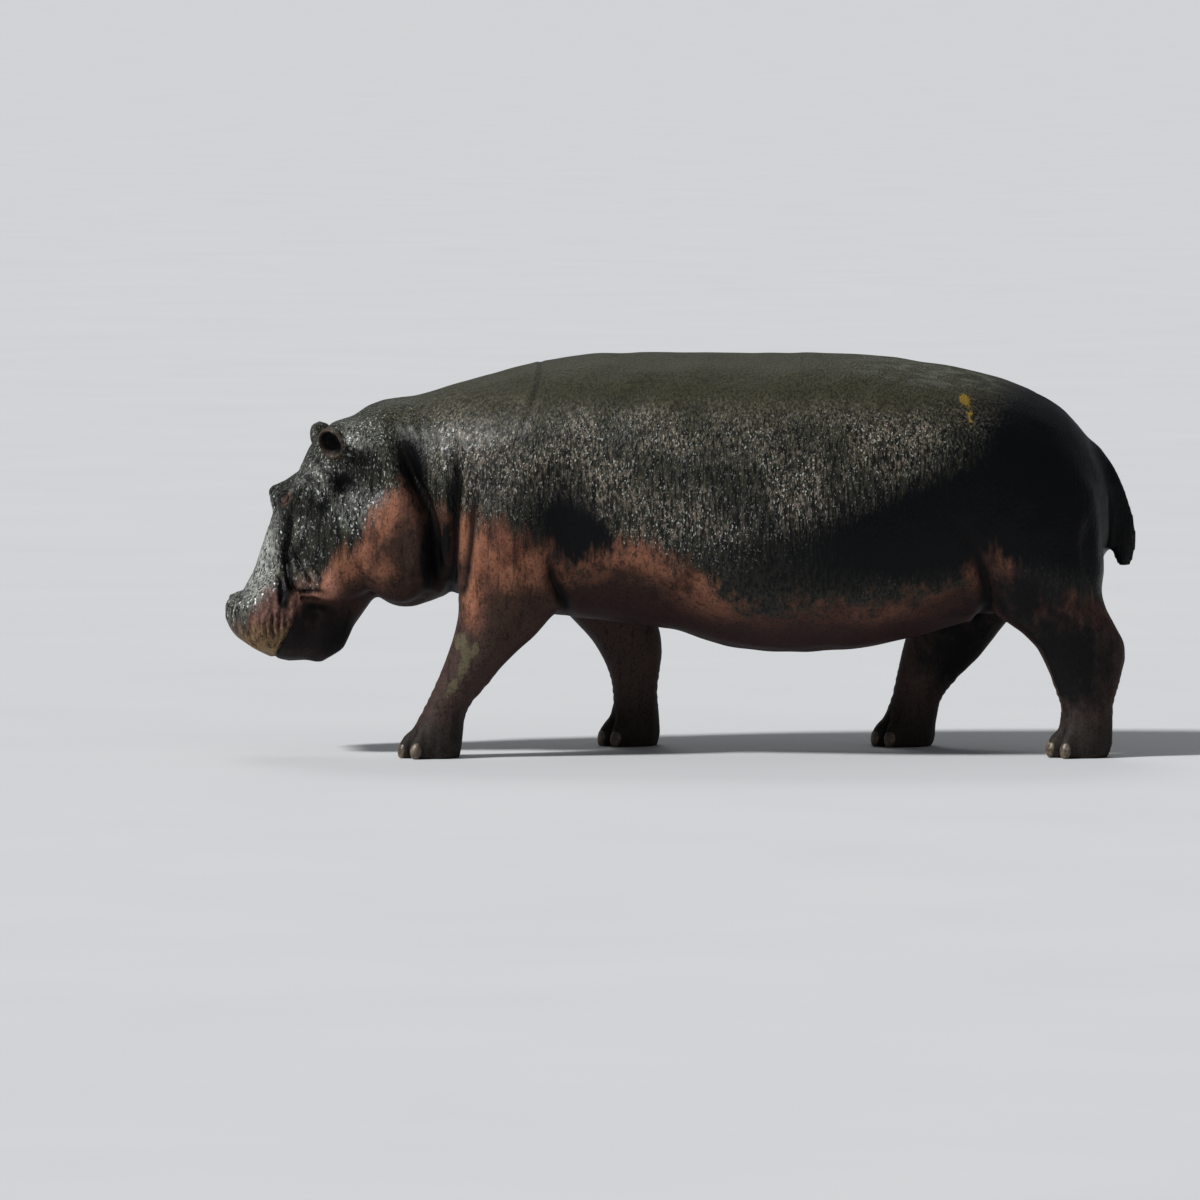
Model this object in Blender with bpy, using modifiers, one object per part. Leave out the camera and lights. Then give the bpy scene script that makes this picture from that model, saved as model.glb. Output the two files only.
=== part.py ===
"""Life-size hippopotamus walking with its head lowered, as a museum model.

The whole body is fused from lofted volumes, smoothed, and parted with thin planar cuts into
head, neck, trunk, tail, legs and feet. Ears, eyes and toenails are pieces of their own, each
seated in a socket. +Z is up, the animal faces -X and its left side is towards -Y.
"""

import math

import bmesh
import bpy
from mathutils import Matrix, Vector

# ---------------------------------------------------------------- driving sizes, in metres
GAP = 0.0004  # clearance at every cut
SOCKET_GAP = 0.0008  # clearance around pieces seated in a curved socket
BODY_VOXEL = 0.013  # grid that fuses the volumes
BODY_TRIANGLES = 3450  # facets left on the fused body before it is parted
SMOOTH_FACTOR = 0.6
SMOOTH_STEPS = 22
KEPT_ON_HEAD = 0.45  # share of the smoothing that the small forms there are spared
KEPT_ON_FEET = 0.80
KEPT_ON_TAIL = 0.80
HEAD_STARTS, HEAD_BLEND = -1.10, 0.25  # x at which that share begins, and the way it takes
FEET_START, FEET_BLEND = 0.20, 0.08  # the same in height
TAIL_STARTS, TAIL_BLEND = 1.69, 0.03  # x at which the tail's share begins
GROUND = 0.0
BIG = 4.0  # side of a cutter that has to pass the whole animal

# Trunk and neck: x, height of the back line, height of the belly line, half width.
TRUNK = (
    (-1.34, 1.20, 1.04, 0.08),
    (-1.28, 1.340, 0.88, 0.19),
    (-1.16, 1.398, 0.66, 0.265),
    (-1.08, 1.408, 0.574, 0.295),
    (-1.00, 1.424, 0.590, 0.318),
    (-0.90, 1.453, 0.628, 0.360),
    (-0.75, 1.497, 0.610, 0.425),
    (-0.55, 1.548, 0.548, 0.480),
    (-0.30, 1.580, 0.522, 0.520),
    (-0.05, 1.583, 0.492, 0.555),
    (0.20, 1.580, 0.417, 0.580),
    (0.45, 1.582, 0.395, 0.590),
    (0.70, 1.576, 0.410, 0.582),
    (0.95, 1.548, 0.460, 0.560),
    (1.15, 1.513, 0.520, 0.530),
    (1.32, 1.464, 0.580, 0.490),
    (1.47, 1.392, 0.640, 0.430),
    (1.58, 1.294, 0.690, 0.355),
    (1.65, 1.182, 0.740, 0.270),
    (1.69, 1.070, 0.800, 0.180),
    (1.71, 0.960, 0.900, 0.060),
)
TRUNK_WIDEST = 0.45  # share of the depth, from the belly, at which the trunk is widest
TRUNK_FULLNESS = 2.25  # exponent of the section; 2 is an ellipse, more is squarer

# Head, modelled level and then pitched: u runs from the nape to the muzzle, v upwards.
HEAD_PIVOT = Vector((-1.22, 0.0, 1.12))
HEAD_PITCH = math.radians(60)
HEAD_YAW = math.radians(6)  # the muzzle swings to the animal's left about the neck
YAW_AXIS_X = -1.05
# u, top, underside, half width of the upper part, half width of the lower part.
HEAD = (
    (-0.18, 0.150, -0.160, 0.180, 0.200),
    (-0.08, 0.228, -0.240, 0.225, 0.255),
    (0.04, 0.255, -0.275, 0.232, 0.270),
    (0.16, 0.245, -0.283, 0.215, 0.262),
    (0.27, 0.240, -0.284, 0.185, 0.240),
    (0.38, 0.242, -0.268, 0.150, 0.205),
    (0.49, 0.224, -0.258, 0.135, 0.178),
    (0.60, 0.202, -0.244, 0.145, 0.165),
    (0.70, 0.200, -0.222, 0.180, 0.168),
    (0.78, 0.195, -0.150, 0.195, 0.155),
    (0.83, 0.150, -0.075, 0.160, 0.120),
    (0.848, 0.060, 0.000, 0.060, 0.050),
)
HEAD_FULLNESS = 2.5
# Rounded masses of the head: name, centre (u, side, v), radii (u, side, v), pitch in degrees.
HEAD_MASSES = (
    ("brow", (0.262, 0.166, 0.211), (0.092, 0.073, 0.066), -4),
    ("orbit", (0.232, 0.148, 0.170), (0.138, 0.084, 0.090), -6),
    ("under_eye", (0.312, 0.146, 0.126), (0.130, 0.074, 0.088), 16),
    ("tear_ridge", (0.372, 0.116, 0.166), (0.130, 0.070, 0.068), 12),
    ("cheekbone", (0.190, 0.182, 0.125), (0.150, 0.064, 0.080), 22),
    ("cheek", (0.240, 0.160, -0.070), (0.320, 0.112, 0.190), -5),
    ("jowl", (0.195, 0.215, -0.215), (0.250, 0.118, 0.170), 30),
    ("lip_root", (0.585, 0.128, 0.055), (0.150, 0.082, 0.105), -8),
    ("lip_pad", (0.690, 0.138, 0.062), (0.160, 0.098, 0.126), -6),
    ("lip_front", (0.782, 0.075, 0.075), (0.064, 0.112, 0.128), 0),
    ("nostril", (0.736, 0.094, 0.180), (0.070, 0.050, 0.052), 18),
    ("lower_lip", (0.648, 0.100, -0.110), (0.105, 0.084, 0.080), 4),
    ("chin", (0.580, 0.064, -0.172), (0.150, 0.092, 0.070), 20),
    ("chin_tip", (0.700, 0.070, -0.157), (0.080, 0.085, 0.072), 0),
    ("throat", (0.320, 0.085, -0.341), (0.135, 0.125, 0.098), -60),
)
EYE_PLACE = (0.266, 0.195, 0.262)
EYE_RADIUS = 0.024

# Ears: a hollowed oval on the crown's outer edge.
EAR_ROOT = (0.028, 0.195, 0.190)  # in the head's own frame
EAR_LENGTH_WAY = (0.10, -0.62, 0.78)  # the way the left ear points in the world
EAR_OPEN_WAY = (-0.58, -0.70, -0.42)  # the way its hollow faces
EAR_RADII = (0.065, 0.074, 0.038)  # across, along its length, through it
EAR_HOLLOW = 0.82  # size of the hollow against the oval
EAR_HOLLOW_SHIFT = 0.020
EAR_REACH = 0.058  # from the root to the oval's middle

# Legs: z of the levels, then half length (along X) and half width (along Y) there.
FORE_GIRTH = (
    (-0.03, 0.105, 0.100),
    (0.04, 0.112, 0.110),
    (0.11, 0.100, 0.100),
    (0.18, 0.090, 0.090),
    (0.26, 0.100, 0.094),
    (0.36, 0.124, 0.107),
    (0.46, 0.155, 0.124),
    (0.56, 0.190, 0.143),
    (0.70, 0.222, 0.165),
    (0.90, 0.232, 0.186),
    (1.10, 0.200, 0.184),
    (1.28, 0.110, 0.120),
)
HIND_GIRTH = (
    (-0.03, 0.108, 0.098),
    (0.04, 0.117, 0.108),
    (0.11, 0.106, 0.098),
    (0.18, 0.102, 0.090),
    (0.26, 0.124, 0.096),
    (0.35, 0.158, 0.111),
    (0.43, 0.180, 0.127),
    (0.50, 0.200, 0.142),
    (0.60, 0.238, 0.170),
    (0.75, 0.290, 0.200),
    (0.95, 0.312, 0.216),
    (1.15, 0.250, 0.200),
    (1.32, 0.130, 0.130),
)
LEG_FULLNESS = 2.15
# Heights of the joints that carry each leg's centre line, and the distance from mid-plane there.
FORE_LEVELS = (-0.03, 0.16, 0.32, 0.60, 0.95, 1.28)
FORE_SIDE = (0.330, 0.332, 0.332, 0.320, 0.288, 0.250)
HIND_LEVELS = (-0.03, 0.16, 0.40, 0.65, 0.95, 1.32)
HIND_SIDE = (0.300, 0.300, 0.298, 0.282, 0.260, 0.220)
# Stride: x of the centre line at those joints, from the sole up.
STRIDE = {
    "front_left": (-0.975, -0.935, -0.838, -0.672, -0.620, -0.590),
    "front_right": (-0.190, -0.172, -0.178, -0.315, -0.560, -0.590),
    "hind_left": (1.575, 1.603, 1.590, 1.405, 1.350, 1.350),
    "hind_right": (0.900, 0.937, 1.065, 1.190, 1.325, 1.350),
}
SIDES = {"left": -1, "right": 1}

# Toes and toenails fan out over the front of each foot.
TOE_ANGLES = tuple(math.radians(a) for a in (-60, -21, 21, 60))
TOE_REACH = 0.082  # from the foot's centre to a toe's centre
TOE_RADII = (0.052, 0.040, 0.062)
TOE_LEVEL = 0.030
NAIL_RADII = (0.020, 0.027, 0.036)
NAIL_REACH = TOE_REACH + 0.040
NAIL_LEVEL = 0.034
NAIL_CLEAR_OF_FLOOR = 0.002
NAIL_LEAN = math.radians(14)

# Tail: x, z and the half sizes fore-and-aft and sideways, from the root to the tip.
TAIL = (
    (1.596, 1.200, 0.060, 0.050),
    (1.656, 1.130, 0.058, 0.048),
    (1.706, 1.035, 0.056, 0.040),
    (1.738, 0.945, 0.058, 0.031),
    (1.753, 0.870, 0.060, 0.024),
    (1.760, 0.806, 0.054, 0.019),
    (1.759, 0.765, 0.045, 0.015),
    (1.755, 0.737, 0.031, 0.011),
    (1.752, 0.720, 0.010, 0.006),
)

# Cuts between the named parts.
NECK_FRONT_CUT = (Vector((-1.055, 0, 0.95)), math.radians(-19))  # point, lean of the plane
NECK_BACK_CUT = (Vector((-0.740, 0, 1.02)), math.radians(16))
SLEEVE = 0.022  # how far the sleeve that cuts a leg off stands clear of it
FORE_CUT_LEVEL = 0.60
HIND_CUT_LEVEL = 0.58
FOOT_CUT_LEVEL = 0.150
FOOT_BLOCK = 0.20  # half side of the block that holds a foot
TAIL_SLEEVE = 0.007

# ---------------------------------------------------------------- scene, materials, helpers


def clear_scene():
    for obj in list(bpy.data.objects):
        bpy.data.objects.remove(obj)


def new_collection(name, hidden=False):
    made = bpy.data.collections.new(name)
    made.hide_render = hidden
    bpy.context.scene.collection.children.link(made)
    return made


def material(name, colour, roughness):
    made = bpy.data.materials.new(name)
    made.use_nodes = True
    shader = made.node_tree.nodes["Principled BSDF"]
    shader.inputs["Base Color"].default_value = (*colour, 1)
    shader.inputs["Roughness"].default_value = roughness
    shader.inputs["Metallic"].default_value = 0.0
    return made


def through(rows, where):
    """The values of a table at a place along its first column, on a curve with no overshoot."""
    keys = [row[0] for row in rows]
    where = min(max(where, keys[0]), keys[-1])
    i = max(k for k in range(len(keys) - 1) if keys[k] <= where)
    step = keys[i + 1] - keys[i]
    t = (where - keys[i]) / step

    def slope(k, column):
        if k == 0 or k == len(keys) - 1:
            return 0.0
        before = (rows[k][column] - rows[k - 1][column]) / (keys[k] - keys[k - 1])
        after = (rows[k + 1][column] - rows[k][column]) / (keys[k + 1] - keys[k])
        if before * after <= 0:
            return 0.0
        return 2 * before * after / (before + after)

    found = []
    for column in range(1, len(rows[0])):
        a, b = rows[i][column], rows[i + 1][column]
        da, db = slope(i, column) * step, slope(i + 1, column) * step
        found.append(
            a * (1 + 2 * t) * (1 - t) ** 2
            + da * t * (1 - t) ** 2
            + b * t * t * (3 - 2 * t)
            + db * t * t * (t - 1)
        )
    return found


def clamped(value):
    return max(0.0, min(1.0, value))


def rounded(angle, fullness):
    """Across and up on a unit section: an ellipse at 2, squarer above."""
    c, s = math.cos(angle), math.sin(angle)
    power = 2 / fullness
    return math.copysign(abs(c) ** power, c), math.copysign(abs(s) ** power, s)


def face_outwards(obj):
    bm = bmesh.new()
    bm.from_mesh(obj.data)
    bmesh.ops.recalc_face_normals(bm, faces=bm.faces)
    bm.to_mesh(obj.data)
    bm.free()
    return obj


def loft(name, place, around, along):
    """A sphere whose rows become the sections: place(share, angle) puts each vertex."""
    mesh = bpy.data.meshes.new(name)
    bm = bmesh.new()
    bmesh.ops.create_uvsphere(bm, u_segments=around, v_segments=along, radius=1)
    for vert in bm.verts:
        pole = math.acos(max(-1.0, min(1.0, vert.co.z)))
        share = (1 - math.cos(pole)) / 2
        at_end = pole < 1e-4 or pole > math.pi - 1e-4
        vert.co = place(share, math.atan2(vert.co.y, vert.co.x), at_end)
    bmesh.ops.recalc_face_normals(bm, faces=bm.faces)
    bm.to_mesh(mesh)
    bm.free()
    return bpy.data.objects.new(name, mesh)


def ellipsoid(name, centre, radii, turn=None, around=20, along=14):
    mesh = bpy.data.meshes.new(name)
    bm = bmesh.new()
    bmesh.ops.create_uvsphere(bm, u_segments=around, v_segments=along, radius=1)
    frame = Matrix.Translation(centre) @ (turn or Matrix.Identity(4)) @ Matrix.Diagonal((*radii, 1))
    bmesh.ops.transform(bm, matrix=frame, verts=bm.verts)
    bm.to_mesh(mesh)
    bm.free()
    return bpy.data.objects.new(name, mesh)


def baked(obj):
    """The object's mesh with its modifiers applied."""
    bpy.context.view_layer.update()
    graph = bpy.context.evaluated_depsgraph_get()
    return bpy.data.meshes.new_from_object(obj.evaluated_get(graph))


def apply_all(obj):
    """Applies every modifier of an object to its mesh."""
    mesh = baked(obj)
    obj.modifiers.clear()
    obj.data = mesh
    return obj


def joined(name, objects, collection):
    """One object that holds the meshes of several, which may overlap."""
    bm = bmesh.new()
    for obj in objects:
        bm.from_mesh(obj.data)
    mesh = bpy.data.meshes.new(name)
    bm.to_mesh(mesh)
    bm.free()
    made = bpy.data.objects.new(name, mesh)
    collection.objects.link(made)
    return made


def box(name, low, high, collection):
    """A cutter box between two corners."""
    mesh = bpy.data.meshes.new(name)
    bm = bmesh.new()
    bmesh.ops.create_cube(bm, size=1)
    low, high = Vector(low), Vector(high)
    size = high - low
    frame = Matrix.Translation((low + high) / 2) @ Matrix.Diagonal((*size, 1))
    bmesh.ops.transform(bm, matrix=frame, verts=bm.verts)
    bm.to_mesh(mesh)
    bm.free()
    made = bpy.data.objects.new(name, mesh)
    made.hide_render = True
    made.display_type = "WIRE"
    collection.objects.link(made)
    return made


def boolean(obj, cutter, operation):
    cut = obj.modifiers.new(operation.lower(), "BOOLEAN")
    cut.operation = operation
    cut.object = cutter
    cut.solver = "EXACT"
    return apply_all(obj)


def twin(obj, name, collection):
    made = bpy.data.objects.new(name, obj.data.copy())
    made.matrix_world = obj.matrix_world
    collection.objects.link(made)
    return made


# ---------------------------------------------------------------- volumes of the body


def trunk_volume():
    start, end = TRUNK[0][0], TRUNK[-1][0]

    def place(share, angle, at_end):
        x = start + (end - start) * share
        top, bottom, half_width = through(TRUNK, x)
        across, up = rounded(angle, TRUNK_FULLNESS)
        middle = bottom + (top - bottom) * TRUNK_WIDEST
        if at_end:
            return Vector((x, 0, (top + bottom) / 2))
        reach = top - middle if up > 0 else middle - bottom
        return Vector((x, half_width * across, middle + reach * up))

    return loft("trunk_volume", place, 48, 64)


def yaw():
    axis = Matrix.Translation((YAW_AXIS_X, 0, 0))
    return axis @ Matrix.Rotation(HEAD_YAW, 4, "Z") @ axis.inverted()


def unyawed_head_frame():
    """From the level head (u forward, its left side, v up) to the lowered one."""
    forward = Vector((-math.cos(HEAD_PITCH), 0, -math.sin(HEAD_PITCH)))
    crown = Vector((-math.sin(HEAD_PITCH), 0, math.cos(HEAD_PITCH)))
    turn = Matrix((forward, Vector((0, -1, 0)), crown)).transposed().to_4x4()
    return Matrix.Translation(HEAD_PIVOT) @ turn


def head_frame():
    return yaw() @ unyawed_head_frame()


def head_volume():
    start, end = HEAD[0][0], HEAD[-1][0]

    def place(share, angle, at_end):
        u = start + (end - start) * share
        top, under, upper_width, lower_width = through(HEAD, u)
        if at_end:
            return Vector((u, 0, (top + under) / 2))
        across, up = rounded(angle, HEAD_FULLNESS)
        width = lower_width + (upper_width - lower_width) * (up + 1) / 2
        middle, reach = (top + under) / 2, (top - under) / 2
        return Vector((u, width * across, middle + reach * up))

    return loft("head_volume", place, 40, 44)


def head_masses():
    made = []
    for name, (u, side, v), radii, pitch in HEAD_MASSES:
        turn = Matrix.Rotation(math.radians(pitch), 4, "Y")
        for sign in SIDES.values():
            made.append(ellipsoid(name, Vector((u, sign * side, v)), radii, turn))
    return made


def leg_volume(name, grow=0.0, around=28, along=40):
    end, side = name.split("_")
    fore, sign = end == "front", SIDES[side]
    girth = FORE_GIRTH if fore else HIND_GIRTH
    levels, reach = (FORE_LEVELS, FORE_SIDE) if fore else (HIND_LEVELS, HIND_SIDE)
    path = tuple(zip(levels, STRIDE[name], reach))
    low, high = girth[0][0] - grow, girth[-1][0] + grow

    def place(share, angle, at_end):
        z = low + (high - low) * share
        x, y = through(path, z)
        half_length, half_width = (half + grow for half in through(girth, z))
        if at_end:
            return Vector((x, sign * y, z))
        across, along = rounded(angle, LEG_FULLNESS)
        return Vector((x + half_length * along, sign * (y + half_width * across), z))

    return face_outwards(loft(name, place, around, along))


def foot_centre(name):
    """Where a foot stands: x, and the signed distance from mid-plane."""
    end, side = name.split("_")
    reach = FORE_SIDE if end == "front" else HIND_SIDE
    return STRIDE[name][0], SIDES[side] * reach[0]


def fan(name, reach, level):
    """Centre and heading of each toe of a foot, from the left toe to the right one."""
    x, y = foot_centre(name)
    return [
        (Vector((x - reach * math.cos(a), y + reach * math.sin(a), level)), -a)
        for a in TOE_ANGLES
    ]


def toe_volumes(name):
    return [
        ellipsoid("toe", centre, TOE_RADII, Matrix.Rotation(heading, 4, "Z"))
        for centre, heading in fan(name, TOE_REACH, TOE_LEVEL)
    ]


def tail_volume(grow=0.0, around=20, along=36):
    rows = tuple((k / (len(TAIL) - 1), *row) for k, row in enumerate(TAIL))

    def place(share, angle, at_end):
        x, z, half_depth, half_width = through(rows, share)
        ahead, behind = through(rows, share + 0.01), through(rows, share - 0.01)
        run = Vector((ahead[0] - behind[0], 0, ahead[1] - behind[1])).normalized()
        out = Vector((-run.z, 0, run.x))
        centre = Vector((x, 0, z))
        if at_end:
            return centre + run * (grow if share > 0.5 else -grow)
        depth, width = half_depth + grow, half_width + grow
        return centre + out * depth * math.sin(angle) + Vector((0, width * math.cos(angle), 0))

    return face_outwards(loft("tail_volume", place, around, along))


def fused_body(collection):
    """All volumes in one closed skin, smoothed, thinned and with flat soles."""
    frame = head_frame()
    volumes = [head_volume(), *head_masses()]
    for obj in volumes:
        obj.data.transform(frame)
    volumes.append(trunk_volume())
    volumes.append(tail_volume())
    for name in STRIDE:
        volumes.append(leg_volume(name))
        volumes.extend(toe_volumes(name))
    body = joined("body", volumes, collection)
    for obj in volumes:
        bpy.data.objects.remove(obj)

    remesh = body.modifiers.new("fuse", "REMESH")
    remesh.mode = "VOXEL"
    remesh.voxel_size = BODY_VOXEL
    apply_all(body)

    kept = body.vertex_groups.new(name="smoothing")
    for vert in body.data.vertices:
        head = clamped((HEAD_STARTS - vert.co.x) / HEAD_BLEND) * KEPT_ON_HEAD
        foot = clamped((FEET_START - vert.co.z) / FEET_BLEND) * KEPT_ON_FEET
        tail = clamped((vert.co.x - TAIL_STARTS) / TAIL_BLEND) * KEPT_ON_TAIL
        if vert.co.z < HIND_CUT_LEVEL:
            tail = 0.0
        kept.add([vert.index], 1 - max(head, foot, tail), "REPLACE")
    smooth = body.modifiers.new("smooth", "SMOOTH")
    smooth.factor = SMOOTH_FACTOR
    smooth.iterations = SMOOTH_STEPS
    smooth.vertex_group = kept.name
    apply_all(body)

    decimate = body.modifiers.new("thin", "DECIMATE")
    decimate.ratio = BODY_TRIANGLES / (2 * len(body.data.polygons))
    apply_all(body)
    return body


# ---------------------------------------------------------------- parting the body


def sliced(obj, point, normal):
    """Cuts away what lies on the normal's side of a plane and closes the cut."""
    bm = bmesh.new()
    bm.from_mesh(obj.data)
    everything = [*bm.verts, *bm.edges, *bm.faces]
    cut = bmesh.ops.bisect_plane(
        bm, geom=everything, dist=1e-6, plane_co=point, plane_no=normal, clear_outer=True
    )
    rim = [item for item in cut["geom_cut"] if isinstance(item, bmesh.types.BMEdge)]
    bmesh.ops.triangle_fill(bm, edges=rim, use_beauty=True, use_dissolve=False)
    bmesh.ops.recalc_face_normals(bm, faces=bm.faces)
    bm.to_mesh(obj.data)
    bm.free()
    return obj


def split(rest, name, point, lean, collection):
    """Parts off what lies ahead of a plane across the body, leaving the gap between the two."""
    back = Vector((math.cos(lean), 0, -math.sin(lean)))
    piece = sliced(twin(rest, name, collection), point, back)
    sliced(rest, point + back * GAP, -back)
    return piece


def part_off(rest, name, region, grown, collection):
    """Takes the piece inside region off the rest, and leaves the gap between the two."""
    piece = boolean(twin(rest, name, collection), region, "INTERSECT")
    boolean(rest, grown, "DIFFERENCE")
    return piece


def seat(host, piece, cutters, gap=SOCKET_GAP):
    """Cuts a socket for a piece into its host, wider than the piece by the gap."""
    cutter = twin(piece, piece.name + "_socket", cutters)
    cutter.hide_render = True
    grow = cutter.modifiers.new("grow", "DISPLACE")
    grow.strength = gap
    grow.mid_level = 0
    apply_all(cutter)
    boolean(host, cutter, "DIFFERENCE")


def foot_block(name, cutters):
    """A block that holds one foot whole and none of the others."""
    x, y = foot_centre(name)
    low = (x - FOOT_BLOCK, y - FOOT_BLOCK, GROUND - 1)
    return box("foot_block", low, (x + FOOT_BLOCK, y + FOOT_BLOCK, GROUND + 1), cutters)


def leg_sleeve(name, cutters, gap):
    """A cutter around a leg up to the level where it leaves the body."""
    sleeve = leg_volume(name, SLEEVE + gap, around=16, along=14)
    cutters.objects.link(sleeve)
    level = FORE_CUT_LEVEL if name.startswith("front") else HIND_CUT_LEVEL
    below = box("below", (-BIG, -BIG, GROUND - 0.5), (BIG, BIG, level + gap), cutters)
    return boolean(sleeve, below, "INTERSECT")


def tail_sleeve(cutters, gap):
    sleeve = tail_volume(TAIL_SLEEVE + gap, around=12, along=20)
    cutters.objects.link(sleeve)
    return sleeve


def make_ear(name, sign, collection, cutters):
    """A hollowed oval: the outer oval less a smaller one shifted towards the opening."""
    along = Vector(EAR_LENGTH_WAY).normalized()
    opening = Vector(EAR_OPEN_WAY)
    opening = (opening - along * opening.dot(along)).normalized()
    turn = Matrix((along.cross(opening), along, opening)).transposed().to_4x4()
    oval = ellipsoid(name + "_oval", Vector(), EAR_RADII, around=12, along=9)
    cutters.objects.link(oval)
    hollow_radii = Vector(EAR_RADII) * EAR_HOLLOW
    shift = Vector((0, 0, EAR_HOLLOW_SHIFT))
    hollow = ellipsoid(name + "_hollow", shift, hollow_radii, around=12, along=8)
    cutters.objects.link(hollow)
    ear = boolean(twin(oval, name, collection), hollow, "DIFFERENCE")
    u, side, v = EAR_ROOT
    root = unyawed_head_frame() @ Vector((u, side, v))
    level = Matrix.Translation(root + along * EAR_REACH) @ turn
    mirror = Matrix.Diagonal((1, -sign, 1, 1))
    for obj in (ear, oval):
        obj.data.transform(yaw() @ mirror @ level)
        face_outwards(obj)
    return ear, oval


def make_eye(name, sign, collection):
    u, side, v = EYE_PLACE
    eye = ellipsoid(name, Vector((u, -sign * side, v)), (EYE_RADIUS,) * 3, around=12, along=8)
    eye.data.transform(head_frame())
    collection.objects.link(eye)
    return eye


def make_nails(name, feet, collection, cutters):
    nails = []
    for number, (centre, heading) in enumerate(fan(name, NAIL_REACH, NAIL_LEVEL), start=1):
        lean = Matrix.Rotation(heading, 4, "Z") @ Matrix.Rotation(NAIL_LEAN, 4, "Y")
        nail = ellipsoid(f"nail_{name}_{number}", centre, NAIL_RADII, lean, around=8, along=5)
        collection.objects.link(nail)
        sliced(nail, Vector((0, 0, GROUND + NAIL_CLEAR_OF_FLOOR)), Vector((0, 0, -1)))
        seat(feet[name], nail, cutters)
        nails.append(nail)
    return nails


def centre_on_origin(objects):
    """Moves all pieces together so that the origin is under the middle of their box."""
    corners = [vert.co for obj in objects for vert in obj.data.vertices]
    low = Vector(min(c[i] for c in corners) for i in range(3))
    high = Vector(max(c[i] for c in corners) for i in range(3))
    shift = Matrix.Translation((-(low.x + high.x) / 2, -(low.y + high.y) / 2, -low.z))
    for obj in objects:
        obj.data.transform(shift)


def main():
    clear_scene()
    model = new_collection("hippopotamus")
    cutters = new_collection("cutters", hidden=True)
    hide = material("hide_wet_dark", (0.035, 0.036, 0.030), 0.35)
    flesh = material("hide_pink_brown", (0.150, 0.085, 0.062), 0.50)
    horn = material("toenail_horn", (0.060, 0.050, 0.042), 0.45)
    eyeball = material("eye_dark", (0.012, 0.008, 0.006), 0.08)

    trunk = fused_body(model)
    trunk.name = "trunk"
    up = Vector((0, 0, 1))
    sliced(trunk, up * GROUND, -up)

    tail = part_off(trunk, "tail", tail_sleeve(cutters, 0), tail_sleeve(cutters, SOCKET_GAP), model)
    all_feet = sliced(twin(trunk, "feet", model), up * FOOT_CUT_LEVEL, up)
    sliced(trunk, up * (FOOT_CUT_LEVEL + GAP), -up)
    legs, feet = {}, {}
    for name in STRIDE:
        feet[name] = boolean(twin(all_feet, "foot_" + name, model), foot_block(name, cutters), "INTERSECT")
        sleeves = leg_sleeve(name, cutters, 0), leg_sleeve(name, cutters, SOCKET_GAP)
        legs[name] = part_off(trunk, "leg_" + name, *sleeves, model)
    bpy.data.objects.remove(all_feet)
    neck = split(trunk, "neck", *NECK_BACK_CUT, model)
    head = split(neck, "head", *NECK_FRONT_CUT, model)

    nails = [nail for name in STRIDE for nail in make_nails(name, feet, model, cutters)]
    ears = []
    for side, sign in SIDES.items():
        ear, oval = make_ear("ear_" + side, sign, model, cutters)
        seat(head, oval, cutters)
        ears.append(ear)
    eyes = [make_eye("eye_" + side, sign, model) for side, sign in SIDES.items()]
    for eye in eyes:
        seat(head, eye, cutters)

    painted = ((hide, (trunk, neck, head, tail, *ears)), (flesh, (*legs.values(), *feet.values())))
    for paint, pieces in (*painted, (horn, nails), (eyeball, eyes)):
        for obj in pieces:
            obj.data.materials.clear()
            obj.data.materials.append(paint)
    centre_on_origin([obj for obj in model.objects])
    for cutter in list(cutters.objects):
        bpy.data.objects.remove(cutter)


main()
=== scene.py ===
"""The looks of a life-size hippopotamus: one skin over the solids, its eyes and toenails."""

import math

import bmesh
import bpy
import numpy as np
from mathutils import Matrix, Vector


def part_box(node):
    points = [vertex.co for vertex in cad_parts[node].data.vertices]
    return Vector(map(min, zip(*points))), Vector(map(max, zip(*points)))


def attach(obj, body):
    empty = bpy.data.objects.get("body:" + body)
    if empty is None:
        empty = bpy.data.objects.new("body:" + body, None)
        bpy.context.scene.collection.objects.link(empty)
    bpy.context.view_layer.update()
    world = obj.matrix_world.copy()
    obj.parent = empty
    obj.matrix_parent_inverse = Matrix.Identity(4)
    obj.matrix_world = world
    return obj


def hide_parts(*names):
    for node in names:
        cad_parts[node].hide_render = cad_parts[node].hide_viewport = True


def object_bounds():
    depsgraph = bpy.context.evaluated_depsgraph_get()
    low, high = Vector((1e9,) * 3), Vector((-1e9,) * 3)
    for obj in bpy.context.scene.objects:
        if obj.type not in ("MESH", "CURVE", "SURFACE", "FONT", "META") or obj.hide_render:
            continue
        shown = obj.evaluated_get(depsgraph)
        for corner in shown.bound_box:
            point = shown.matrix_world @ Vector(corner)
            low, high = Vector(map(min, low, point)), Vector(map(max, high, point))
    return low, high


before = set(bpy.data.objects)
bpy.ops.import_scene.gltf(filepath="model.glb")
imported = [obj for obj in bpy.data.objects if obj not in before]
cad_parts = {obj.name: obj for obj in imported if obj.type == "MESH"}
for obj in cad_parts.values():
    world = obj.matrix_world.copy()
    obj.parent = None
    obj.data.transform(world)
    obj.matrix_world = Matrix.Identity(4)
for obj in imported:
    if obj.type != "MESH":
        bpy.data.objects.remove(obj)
cad_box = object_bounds()

# ------------------------------------------------------------------ the hide's shape
# The hide is thick, nearly bare skin that lies close on the body in one piece. It is made from
# copies of the solids of flesh, fused by a remesh and smoothed, and its folds are pushed in after.

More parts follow.
